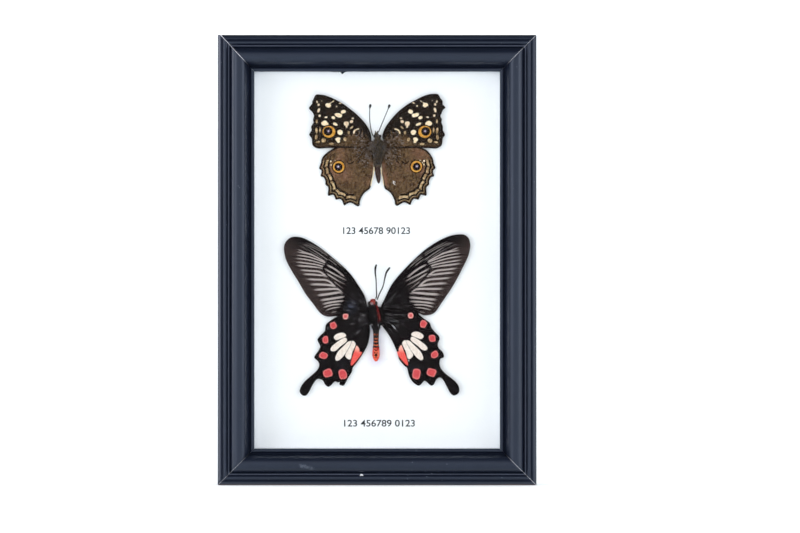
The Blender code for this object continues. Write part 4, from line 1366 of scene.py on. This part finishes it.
# %% Black hindwing markings
BLACK_RED = [
    (-12.2, -0.7, 2.3, 2.5, 0, 2.6), (-17.0, -4.2, 2.7, 3.0, 20, 2.8),
    (-20.1, -9.7, 2.7, 2.9, 0, 2.8), (-20.8, -15.9, 3.2, 2.7, -20, 2.8),
    (-19.2, -22.8, 3.8, 3.3, 20, 3.0), (-13.3, -23.3, 3.2, 4.1, 15, 3.0),
]
BLACK_PETALS = [
    [(-16.7, -8.8), (-15.8, -7.7), (-14.3, -7.1), (-12.9, -7.2), (-12.0, -8.0), (-12.7, -8.7),
     (-14.3, -9.3), (-15.7, -9.8)],
    [(-12.1, -9.0), (-11.7, -10.0), (-12.4, -10.9), (-14.5, -12.5), (-15.8, -13.8), (-17.2, -14.2),
     (-18.0, -13.6), (-17.5, -12.5), (-15.8, -11.0), (-13.6, -9.5)],
    [(-10.0, -10.3), (-10.2, -11.3), (-11.8, -14.3), (-13.4, -16.5), (-15.2, -17.9), (-16.1, -17.4),
     (-15.9, -16.1), (-14.9, -14.3), (-13.1, -12.5), (-11.3, -10.7)],
    [(-9.4, -10.2), (-8.3, -11.3), (-8.8, -12.9), (-9.6, -14.7), (-10.2, -17.2), (-11.2, -17.2),
     (-12.2, -16.1), (-11.8, -14.9), (-10.9, -13.4), (-10.0, -11.6)],
]
BLACK_WEDGE = [(-7.8, -12.0), (-6.7, -13.6), (-6.8, -14.4), (-5.7, -14.7), (-6.6, -16.3), (-8.2, -18.3),
               (-9.8, -19.9), (-10.1, -19.0), (-9.6, -16.7), (-8.8, -14.5)]
BLACK_HIND_VEINS = [
    [(-4.0, 1.4), (-10.0, -0.4), (-15.4, -2.4), (-20.2, -5.8)],
    [(-4.0, 0.4), (-11.0, -5.6), (-16.6, -7.0), (-23.0, -9.9)],
    [(-11.4, -8.4), (-17.4, -10.6), (-22.4, -12.4)], [(-11.0, -9.9), (-16.8, -14.8), (-24.2, -17.0)],
    [(-9.8, -10.4), (-14.2, -17.6), (-20.0, -24.2), (-28.6, -30.2)],
    [(-8.8, -10.6), (-11.2, -18.2), (-16.2, -26.0)],
    [(-3.8, -1.0), (-8.0, -10.4), (-9.4, -18.0), (-13.4, -27.2)],
    [(-3.6, -2.4), (-5.6, -10.0), (-9.0, -20.6)],
]


def mark_black_hindwing(places, inner):
    """Distances to the coral spots, the petals, the wedge and the veins."""
    return {
        "red": ovals(places, BLACK_RED),
        "faded": rise(places[:, 1], -2.8, -2.0),
        "petal": patches(places, BLACK_PETALS),
        "wedge": patch(places, BLACK_WEDGE),
        "stripe": np.full(len(places), FAR),
        "fade": np.zeros(len(places)),
        "grey": np.zeros(len(places)),
        "vein": veins_near(places, BLACK_HIND_VEINS),
    }


print("coral spots:", len(BLACK_RED), " petals:", len(BLACK_PETALS))

# %% [markdown]
# The black wings are not one flat black. The scales have a brownish cast, the thin outer part of the
# forewing goes smoky grey, and the coral spots are pinker and paler at their rims. The wedge beside the
# abdomen runs from cream-pink at its top to coral at its foot, so its colour follows the height.

# %% Black wing finish
LOWER_MIDDLE = in_metres(LOWER_CENTRE[0], 8.0, LOWER_CENTRE[1])[0].tolist()
LEFT_WING_ROOT = in_metres(LOWER_CENTRE[0] - 10.0, 8.0, LOWER_CENTRE[1] + 3.3)[0].tolist()


def black_wing_finish():
    """Black and smoky ground, pale stripes, veins, and the coral and cream marks on top."""
    finish = Finish("black wing scales", Specular_IOR_Level=0.04)
    fine, mid, broad = finish.noise(3600.0, 2.0), finish.noise(1200.0, 4.0), finish.noise(190.0, 3.0)
    ragged = (finish.noise(2000.0, 3.0) - 0.5) * 0.5
    rim, vein, stripe = finish.mark("rim"), finish.mark("vein"), finish.mark("stripe")

    black = finish.blend(finish.ramp(mid, 0.4, 0.7), paint(6, 3, 4), paint(18, 11, 13))
    smoky = finish.blend(finish.ramp(mid, 0.35, 0.7), paint(40, 30, 29), paint(64, 52, 49))
    ground = finish.blend(finish.mark("grey"), black, smoky)
    ground = finish.blend(finish.mark("grey") * finish.inside(rim, 0.5, 0.7), ground, paint(62, 50, 50))
    pale = finish.blend(finish.mark("fade"), paint(70, 58, 58), paint(184, 172, 168))
    pale = finish.shade(finish.ramp(fine, 0.4, 0.75), pale, 0.35)
    ground = finish.blend(finish.inside(stripe + ragged * 0.35, -0.02, 0.12) * 0.92, ground, pale)
    ground = finish.blend(finish.inside(vein, 0.14, 0.12) * 0.92, ground, paint(20, 14, 17))
    # Painted sheen: pale blue-grey patches that stand in for light shining off the black scales.
    painted_sheen = finish.ramp(broad, 0.62, 0.75) * (1 - finish.mark("grey")) * 0.14
    ground = finish.blend(painted_sheen, ground, paint(52, 52, 64))
    about_body = finish.inside(finish.near(LOWER_MIDDLE), 10.0, 5.0)
    clustered = finish.ramp(finish.noise(800.0, 2.0), 0.57, 0.62)
    specks = finish.inside(finish.spots(1300.0), 0.2, 0.06) * clustered
    ground = finish.blend(specks * about_body * 0.8, ground, paint(205, 196, 202))
    # Painted glint: blue-grey light painted onto the black scales round the left forewing's root.
    at_root = finish.inside(finish.near(LEFT_WING_ROOT) + mid * 2.0, 3.2, 1.4)
    painted_glint = at_root * finish.ramp(mid, 0.48, 0.62)
    ground = finish.blend(painted_glint * 0.6, ground, paint(84, 90, 112))

    red = finish.mark("red") + ragged * 0.4 + (finish.noise(600.0, 2.0) - 0.5) * 0.9 + 0.1
    coral = finish.blend(finish.ramp(mid, 0.35, 0.7), paint(208, 80, 82), paint(190, 62, 69))
    coral = finish.blend(finish.ramp(red, -0.5, -0.1) * 0.8, coral, paint(230, 130, 126))
    faded = finish.mark("faded") * finish.ramp(red, -0.8, -0.1)
    coral = finish.blend(faded * 0.5, coral, paint(240, 190, 178))
    ground = finish.blend(finish.inside(red, 0.0, 0.12), ground, coral)
    cream = finish.blend(finish.ramp(mid, 0.35, 0.7), paint(240, 228, 218), paint(222, 206, 194))
    ground = finish.blend(finish.inside(finish.mark("petal") + ragged * 0.3, 0.08, 0.12), ground, cream)
    lift = finish.ramp(finish.level() - LOWER_CENTRE[1] + ragged * 3.0, -15.4, -12.2)
    wedge = finish.blend(lift, paint(232, 90, 82), paint(246, 180, 162))
    ground = finish.blend(finish.inside(finish.mark("wedge") + ragged * 0.35, 0.0, 0.13), ground, wedge)
    scratch = finish.inside(finish.mark("scratch") + ragged * 0.25, 0.0, 0.08)
    finish.set(Base_Color=finish.blend(scratch, ground, paint(206, 208, 214)))
    finish.set(Roughness=0.58 + fine * 0.25)
    finish.bump(fine * 0.5 + mid * 0.5, 0.00003)
    return finish.material


black_wing = black_wing_finish()
print("black wing nodes:", len(black_wing.node_tree.nodes))

# %% Lower wings
LOWER_LANDMARKS = {
    "forewing": ([(-3.8, 3.3), (-36.2, 27.4), (-21.2, 0.0)], [(3.0, 2.6), (37.9, 28.4), (23.0, 0.2)]),
    "hindwing": ([(-12.2, -0.7), (-20.8, -15.9), (-13.3, -23.3)],
                 [(13.5, -0.2), (22.8, -15.5), (15.7, -23.2)]),
}
black_markers = {"forewing": mark_black_forewing, "hindwing": mark_black_hindwing}
add_wings("lower_butterfly", LOWER_CENTRE, black_wing, black_markers, LOWER_LANDMARKS)

# %% [markdown]
# ## Bodies
#
# A butterfly's body is three stretches in a row: head, thorax and a ringed abdomen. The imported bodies
# hold their true sections as rings of points, so the new surface reads those, runs a smooth curve
# through them and carries an oval along it. Each joint between abdomen rings is a shallow groove.

# %% Body surface


def body_stations(node):
    """(up, across, half width, half depth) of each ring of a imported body, from the head down."""
    mesh = nodes[node].data
    points = np.zeros(len(mesh.vertices) * 3, np.float32)
    mesh.vertices.foreach_get("co", points)
    points = points.reshape(-1, 3) / MM
    levels = np.unique(np.round(points[:, 2], 2))[::-1]
    rows = []
    for level in levels:
        across, depth, up = points[np.abs(points[:, 2] - level) < 0.01].T
        middle = (across.max() + across.min()) / 2
        rows.append((up.mean(), middle, np.ptp(across) / 2, np.ptp(depth) / 2))
    low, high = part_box(node)
    return through(rows, 8), (BACK_PLANE - (low.y + high.y) / 2) / MM


def body_at(stations, middle, level, turn, swell=1.0):
    """Points on a body: level is the place among the stations, turn the angle round it."""
    index = np.arange(len(stations))
    up, across, wide, deep = (np.interp(level, index, stations[:, i]) for i in range(4))
    return across + swell * wide * np.cos(turn), middle + swell * deep * np.sin(turn), up


def add_body(name, centre, finish, waist, segments, plump):
    """A body with segments grooved rings below the waist, where it is plumper by the share given."""
    stations, middle = body_stations(name)
    level = np.linspace(0, len(stations) - 1, 170)[:, None]
    turn = np.linspace(0, 2 * math.pi, 56, endpoint=False)[None]
    up = np.interp(level, np.arange(len(stations)), stations[:, 0])
    foot = stations[-1, 0]
    share = np.clip((centre[1] + waist - up) / (centre[1] + waist - foot), 0, 1) * segments
    groove = np.exp(-(((share + 0.5) % 1 - 0.5) / 0.1) ** 2) * (share > 0.3)
    swell = 0.985 - 0.09 * groove + plump * rise(share, 0, 1)
    across, height, up = body_at(stations, middle, level, turn, swell)
    up = up + 0 * turn
    marks = {"up": up - centre[1], "side": np.cos(turn) + 0 * up, "groove": groove + 0 * turn}
    return add_piece(name + "_grown", in_metres(across, height, up), tube_faces(*across.shape), finish,
                     [name], values=marks)


def upper_body_finish():
    """Fuzzy thorax and a ringed, horny abdomen."""
    finish = Finish("brown body", Specular_IOR_Level=0.15)
    fine, mid = finish.noise(2600.0, 3.0), finish.noise(900.0, 4.0)
    up = finish.mark("up")
    fuzz = finish.blend(finish.ramp(mid, 0.35, 0.65), paint(30, 24, 18), paint(80, 72, 58))
    horn = finish.blend(finish.ramp(fine, 0.35, 0.7), paint(32, 19, 17), paint(76, 54, 46))
    horn = finish.blend(finish.mark("groove") * 0.6, horn, paint(30, 20, 18))
    abdomen = finish.inside(up + mid, -6.2, 0.8)
    finish.set(Base_Color=finish.blend(abdomen, fuzz, horn))
    finish.set(Roughness=0.8 - abdomen * 0.35)
    finish.bump(mid + fine * 0.5, 0.0001)
    return finish.material


ABDOMEN_RINGS = [  # level, half width, how far from the middle line each starts
    (-7.6, 0.1, 0.25), (-9.3, 0.1, 0.0), (-10.4, 0.12, 0.0), (-11.8, 0.24, 0.0),
]


def lower_body_finish():
    """Black thorax with a red flank and a red head; ringed black abdomen that turns orange-red."""
    finish = Finish("black and red body", Specular_IOR_Level=0.12)
    fine, mid = finish.noise(2800.0, 3.0), finish.noise(1000.0, 4.0)
    up, side = finish.mark("up") + (mid - 0.5) * 1.1, finish.mark("side")
    black = finish.blend(finish.ramp(fine, 0.4, 0.7), paint(14, 10, 11), paint(36, 28, 30))
    red = finish.blend(finish.ramp(mid, 0.35, 0.65), paint(206, 52, 46), paint(240, 116, 84))
    colour = finish.blend(finish.inside(up, -12.9, 0.3), black, red)
    for level, half, gap in ABDOMEN_RINGS:
        ring = finish.inside((up - level).size(), half, 0.1) * finish.ramp(side.size(), gap - 0.1, gap)
        colour = finish.blend(ring * finish.ramp(mid, 0.3, 0.5) * 0.9, colour, paint(222, 104, 66))
    vee = (up + 14.0 - side.size() * 1.1).size()
    diamond = (up + 15.6).size() + side.size() * 1.2 - 0.4 + (fine - 0.5) * 0.8
    pair = (up + 14.8).size() + (side.size() - 0.34).size() * 1.6 - 0.1
    tail = (up + 16.5).size() + side.size() * 1.4 - 0.2
    dark = finish.inside(vee & diamond & pair & tail, 0.24, 0.12)
    dark = dark * finish.inside(side.size(), 0.66, 0.12)
    colour = finish.blend(dark, colour, paint(30, 8, 7))
    pink = finish.ramp(side.size(), 0.72, 0.95) * finish.inside(up, -13.2, 0.3)
    colour = finish.blend(pink * 0.6, colour, paint(246, 150, 150))
    flank = finish.inside((side + (mid - 0.5) * 0.5 - 0.6).size(), 0.18, 0.06)
    flank = flank * finish.ramp(up, -3.8, -2.8)
    colour = finish.blend(flank * finish.ramp(mid, 0.4, 0.6, 0.3, 1.0), colour, paint(150, 36, 38))
    head = finish.ramp(up, 4.0, 4.6) * finish.inside(side.size(), 0.55, 0.15)
    finish.set(Base_Color=finish.blend(head, colour, paint(214, 104, 92)))
    finish.set(Roughness=0.5 + fine * 0.3)
    finish.bump(mid + fine * 0.5, 0.0001)
    return finish.material


upper_body = upper_body_finish()
lower_body = lower_body_finish()
add_body("upper_butterfly_body", UPPER_CENTRE, upper_body, -4.0, 7, 0.0)
add_body("lower_butterfly_body", LOWER_CENTRE, lower_body, -3.6, 9, 0.12)

# %% [markdown]
# ## Eyes, palps and feelers
#
# Eyes are shiny beads, a ball's two angles on a grid. Palps and feelers are tubes: a round section
# carried along a smooth line, whose radius follows the share of the length, so one function makes
# both the tapering palps and the feelers with their clubs.

# %% Beads and tubes


def horn_finish(name, dark, light, rough):
    """Dry horn: dark, with fine paler rings along the piece."""
    finish = Finish(name, Roughness=rough)
    rings = finish.node("ShaderNodeMath", {"operation": "SINE"}, finish.mark("along") * 22.0)
    mottle = finish.noise(2400.0, 3.0)
    finish.set(Base_Color=finish.blend(finish.ramp(rings * 0.3 + mottle, 0.5, 0.9), dark, light))
    finish.bump(mottle, 0.00002)
    return finish.material


def add_bead(name, centre, place, radii, finish):
    """An oval bead: latitude runs up the rows and longitude along the columns."""
    latitude = np.radians(np.linspace(-88, 88, 26))[:, None]
    longitude = np.linspace(0, 2 * math.pi, 36, endpoint=False)[None]
    across = centre[0] + place[0] + radii[0] * np.cos(latitude) * np.cos(longitude)
    height = place[1] + radii[1] * np.cos(latitude) * np.sin(longitude)
    up = centre[1] + place[2] + radii[2] * np.sin(latitude) + 0 * longitude
    add_piece(name, in_metres(across, height, up), tube_faces(*across.shape), finish,
              values={"along": up})


def add_tube(name, centre, route, heights, widths, finish, replaces=()):
    """A round section along a smooth route in the plane of the board. heights are two heights at its
    ends, and widths are (share of length, radius) pairs."""
    line = through(route, 10) + centre
    step = np.gradient(line, axis=0)
    step /= np.linalg.norm(step, axis=1, keepdims=True)
    along = np.concatenate([[0], np.cumsum(np.linalg.norm(np.diff(line, axis=0), axis=1))])
    share = along / along[-1]
    radius = np.interp(share, *zip(*widths))[:, None]
    middle = np.interp(share, [0, 1], heights)[:, None]
    turn = np.linspace(0, 2 * math.pi, 14, endpoint=False)[None]
    across = line[:, :1] - step[:, 1:] * radius * np.cos(turn)
    up = line[:, 1:] + step[:, :1] * radius * np.cos(turn)
    height = middle + radius * np.sin(turn)
    add_piece(name, in_metres(across, height, up), tube_faces(*across.shape), finish, replaces,
              values={"along": along[:, None] + 0 * turn})


UPPER_FEELERS = {
    "left": [(-1.7, 4.3), (-2.3, 6.2), (-2.9, 10.3), (-2.9, 14.6), (-2.6, 16.7)],
    "right": [(0.5, 5.7), (2.4, 10.3), (4.3, 14.8), (4.9, 16.6)],
}
LOWER_FEELERS = {
    "left": [(-0.4, 6.4), (0.0, 7.4), (-0.1, 10.6), (-0.2, 13.9), (-0.5, 16.6), (-0.4, 18.6),
             (0.0, 19.8)],
    "right": [(0.2, 5.9), (1.2, 8.4), (2.6, 11.4), (3.3, 14.7), (4.0, 16.9), (5.3, 18.7)],
}
UPPER_CLUB = [(0.0, 0.18), (0.84, 0.15), (0.88, 0.26), (0.92, 0.5), (0.98, 0.46), (1.0, 0.18)]
LOWER_CLUB = [(0.0, 0.24), (0.5, 0.22), (0.7, 0.28), (0.9, 0.4), (0.98, 0.34), (1.0, 0.16)]
FEELER_HEIGHT = 9.2

eye_finish = horn_finish("shining eye", paint(18, 12, 12), paint(52, 38, 34), 0.18)
feeler_finish = horn_finish("dark horn", paint(6, 5, 6), paint(30, 26, 27), 0.55)
for name, centre, feelers, club in (("upper_butterfly", UPPER_CENTRE, UPPER_FEELERS, UPPER_CLUB),
                                    ("lower_butterfly", LOWER_CENTRE, LOWER_FEELERS, LOWER_CLUB)):
    for side, route in feelers.items():
        add_tube(f"{name}_feeler_{side}", centre, route, (FEELER_HEIGHT, FEELER_HEIGHT), club,
                 feeler_finish, [f"{name}_antenna_{side}"])

EYES = [  # name, centre, slot, across, up, distance from the middle, radius, height
    ("upper_butterfly", UPPER_CENTRE, "brown_body", 0.05, 4.1, 1.1, 0.66, 9.2),
    ("lower_butterfly", LOWER_CENTRE, "red_body", -1.5, 4.6, 1.3, 0.85, 9.1),
]
for name, centre, slot, across, up, apart, radius, height in EYES:
    radii = (radius * 0.75, radius * 0.8, radius)
    for side, sign in (("left", -1), ("right", 1)):
        place = (across + sign * apart, height, up)
        add_bead(f"{name}_eye_{side}", centre, place, radii, eye_finish)

PALP_WIDTHS = [(0.0, 0.3), (0.5, 0.34), (0.85, 0.2), (1.0, 0.05)]
for side, foot, tip in (("left", -0.35, -0.75), ("right", 0.05, 0.2)):
    route = [(foot, 4.6), ((foot + tip) / 2, 5.5), (tip, 6.3)]
    add_tube(f"upper_butterfly_palp_{side}", UPPER_CENTRE, route, (8.9, 9.1), PALP_WIDTHS, upper_body)

# %% [markdown]
# ## Hair
#
# The thorax is furry, and the fur spills onto the roots of the wings. Particle hair would look right
# but doesn't survive an export, so each hair is a tiny mesh: a three-sided spike in two stretches that
# bends once. A few thousand of them are worked out together as arrays and joined in one piece, with a
# random tone on each hair so that the fur isn't one colour.

# %% Hair surface


def hair_points(roots, aims, lengths, radius, droop):
    """Seven points a hair: a ring of three at the root, a ring of three past half way, and the tip.
    The rings stand square to the aim, and the tip is bent by the droop vector."""
    aims = aims / np.linalg.norm(aims, axis=1, keepdims=True)
    side = np.cross(aims, [0.31, 0.77, 0.55])
    side /= np.linalg.norm(side, axis=1, keepdims=True)
    other = np.cross(aims, side)
    turn = np.radians([0, 120, 240])
    ring = side[:, None] * np.cos(turn)[:, None] + other[:, None] * np.sin(turn)[:, None]
    reach = aims * lengths[:, None]
    root = roots[:, None] + ring * radius
    middle = (roots + reach * 0.55)[:, None] + ring * radius * 0.75
    tip = (roots + reach + droop * lengths[:, None])[:, None]
    return np.concatenate([root, middle, tip], axis=1)


def add_hair(name, roots, aims, lengths, radius, droop, tone, finish):
    """Joined hairs from arrays in millimetres of (across, height, up)."""
    points = hair_points(roots, aims, lengths, radius, droop)
    ring = np.arange(3)
    beside = (ring + 1) % 3
    sides = np.stack([ring, beside, beside + 3, ring + 3], axis=1)
    tips = np.stack([ring + 3, beside + 3, np.full(3, 6)], axis=1)
    first = np.arange(len(roots))[:, None, None] * 7
    quads = (first + sides).reshape(-1, 4)
    triples = (first + np.vstack([tips, [[2, 1, 0]]])).reshape(-1, 3)
    add_piece(name, in_metres(*points.reshape(-1, 3).T), [quads, triples], finish, sharp=180,
              values={"tone": np.repeat(tone, 7)})


def scatter_on_body(name, centre, top, foot, count, random):
    """Random roots on the front half of a body between two levels, with the outward directions."""
    stations, middle = body_stations(name)
    up = centre[1] + random.uniform(foot, top, count)
    level = np.interp(-up, -stations[:, 0], np.arange(len(stations)))
    turn = random.uniform(math.radians(-15), math.radians(195), count)
    across, height, up = body_at(stations, middle, level, turn, 0.96)
    roots = np.stack([across, height, up], axis=1)
    return roots, np.stack([np.cos(turn), np.sin(turn), 0 * turn], axis=1)


def scatter_on_wings(centre, near, far, middle_up, low, high, count, random, seats):
    """Random roots on the wing bases in polar places round the thorax, thinning out with distance.
    low and high are bearings in degrees from straight out, negative towards the tail. seats are the
    heights of the forewings and the hindwings, and the level between the two."""
    side = random.choice([-1.0, 1.0], count)
    reach = near + (far - near) * random.uniform(0, 1, count) ** 1.9
    bearing = np.radians(random.uniform(low, high, count))
    out, up = reach * np.cos(bearing), middle_up + reach * np.sin(bearing)
    flat = np.stack([side * out, up], axis=1)
    seat = np.where(up > seats[2], seats[0], seats[1])
    height = wing_height(flat, seat, np.full(count, FAR), np.full(count, FAR)) - 0.02
    roots = np.stack([centre[0] + side * out, height, centre[1] + up], axis=1)
    return roots, np.stack([side, 0 * side, 0 * side], axis=1)


def hair_finish(name, dark, light, pale, pale_share):
    """Hair from dark to light by its own tone, with a share of pale clumps."""
    finish = Finish(name, Roughness=0.7, Specular_IOR_Level=0.05)
    tone, mottle = finish.mark("tone"), finish.noise(1100.0, 2.0)
    colour = finish.blend(finish.ramp(tone * 0.3 + mottle * 0.7, 0.36, 0.62), dark, light)
    clumps = tone + (finish.noise(380.0, 2.0) - 0.5) * 0.5
    picked = finish.ramp(clumps, 1 - pale_share, 1.02 - pale_share)
    finish.set(Base_Color=finish.blend(picked, colour, pale))
    return finish.material


random = np.random.default_rng(7)
print("hair helpers ready")

# %% Fur of both butterflies
FUR_RADIUS = 0.028
PALE_TUFTS = [  # across, up, radius
    (-1.75, 4.5, 0.5), (-1.66, -3.7, 0.28), (0.5, -3.9, 0.24), (-0.9, -0.5, 0.16), (-1.3, 1.6, 0.14),
]


def add_fur(name, roots, out, low, high, radius, lie, finish):
    """Hairs that leave their roots partly outward and partly along lie, with some disorder."""
    count = len(roots)
    aims = out * 0.55 + np.asarray(lie) + random.normal(0, 0.3, (count, 3))
    lengths = random.uniform(low, high, count)
    droop = random.normal(0, 0.14, (count, 3))
    add_hair(name, roots, aims, lengths, radius, droop, random.uniform(0, 1, count), finish)


brown_fur = hair_finish("olive brown fur", paint(32, 24, 20), paint(140, 122, 102),
                        paint(158, 156, 168), 0.08)
roots, out = scatter_on_body("upper_butterfly_body", UPPER_CENTRE, 4.6, -7.6, 5600, random)
face = (np.abs(roots[:, 0] - 0.05) > 0.7) & (roots[:, 2] > UPPER_CENTRE[1] + 3.3)
roots, out = roots[~face], out[~face]
add_fur("upper_butterfly_fur", roots, out, 0.5, 1.15, FUR_RADIUS, (0, 0.25, -0.7), brown_fur)
brown_down = hair_finish("brown wing down", paint(46, 32, 21), paint(112, 86, 62),
                         paint(234, 220, 218), 0.12)
roots, out = scatter_on_wings(UPPER_CENTRE, 1.6, 9.5, 1.0, -72, 40, 5600, random, (7.75, 7.15, -0.7))
add_fur("upper_butterfly_wing_down", roots, out, 0.9, 2.0, FUR_RADIUS * 0.9, (0, 0.22, -0.35),
        brown_down)

black_fur = hair_finish("black fur", paint(10, 7, 8), paint(32, 25, 27), paint(78, 72, 78), 0.02)
roots, out = scatter_on_body("lower_butterfly_body", LOWER_CENTRE, 4.2, -5.3, 4200, random)
flank_place = roots[:, 0] - LOWER_CENTRE[0] + 0.22 * (roots[:, 2] - LOWER_CENTRE[1])
black_side = np.abs(flank_place - 0.9) > 0.2
add_fur("lower_butterfly_black_fur", roots[black_side], out[black_side], 0.4, 0.95, FUR_RADIUS,
        (0, 0.2, -0.7), black_fur)
red_fur = hair_finish("red fur", paint(112, 22, 26), paint(206, 60, 58), paint(240, 170, 150), 0.12)
add_fur("lower_butterfly_red_fur", roots[~black_side], out[~black_side], 0.5, 1.0, FUR_RADIUS,
        (0.1, 0.2, -0.6), red_fur)
roots, out = scatter_on_body("lower_butterfly_body", LOWER_CENTRE, 6.1, 4.0, 1100, random)
brow = np.abs(roots[:, 0] - LOWER_CENTRE[0] + 1.45) < 0.85
add_fur("lower_butterfly_head_fur", roots[brow], out[brow], 0.3, 0.6, FUR_RADIUS, (0, 0.2, 0.3),
        red_fur)
pale_fur = hair_finish("pale hairs", paint(150, 144, 150), paint(214, 208, 212),
                       paint(244, 240, 244), 0.3)
roots, out = scatter_on_body("lower_butterfly_body", LOWER_CENTRE, 6.1, -4.6, 9000, random)
pale = np.zeros(len(roots), bool)
for across, up, radius in PALE_TUFTS:
    gap = np.hypot(roots[:, 0] - LOWER_CENTRE[0] - across, roots[:, 2] - LOWER_CENTRE[1] - up)
    pale |= gap < radius
add_fur("lower_butterfly_pale_hairs", roots[pale], out[pale], 0.5, 0.9, FUR_RADIUS, (0, 0.4, -0.2),
        pale_fur)
roots, out = scatter_on_wings(LOWER_CENTRE, 3.2, 9.0, 1.2, -58, 40, 2600, random, (7.15, 7.75, 0.4))
add_fur("lower_butterfly_wing_down", roots, out, 0.8, 1.9, FUR_RADIUS * 0.8, (0, 0.2, -0.35), black_fur)
roots, out = scatter_on_body("lower_butterfly_body", LOWER_CENTRE, 3.2, -4.6, 5200, random)
flanks = (np.abs(out[:, 0]) > 0.8) & (roots[:, 2] > LOWER_CENTRE[1] - 3.7)
add_fur("lower_butterfly_flank_fur", roots[flanks], out[flanks] * 2.2, 0.9, 1.7, FUR_RADIUS * 1.2,
        (0, 0, -0.4), black_fur)

roots, out = scatter_on_wings(LOWER_CENTRE, 3.4, 12.0, 0.5, -50, 50, 220, random, (7.25, 7.85, 0.4))
spread = roots - [LOWER_CENTRE[0], 0, LOWER_CENTRE[1]]
spread[:, 1] = 0
aims = spread + random.normal(0, 0.6, spread.shape) * [1, 0, 1]
lengths = random.uniform(0.8, 2.4, len(roots))
droop = random.normal(0, 0.05, roots.shape)
tone = random.uniform(0, 1, len(roots))
add_hair("lower_butterfly_long_hairs", roots, aims, lengths, 0.02, droop, tone, pale_fur)
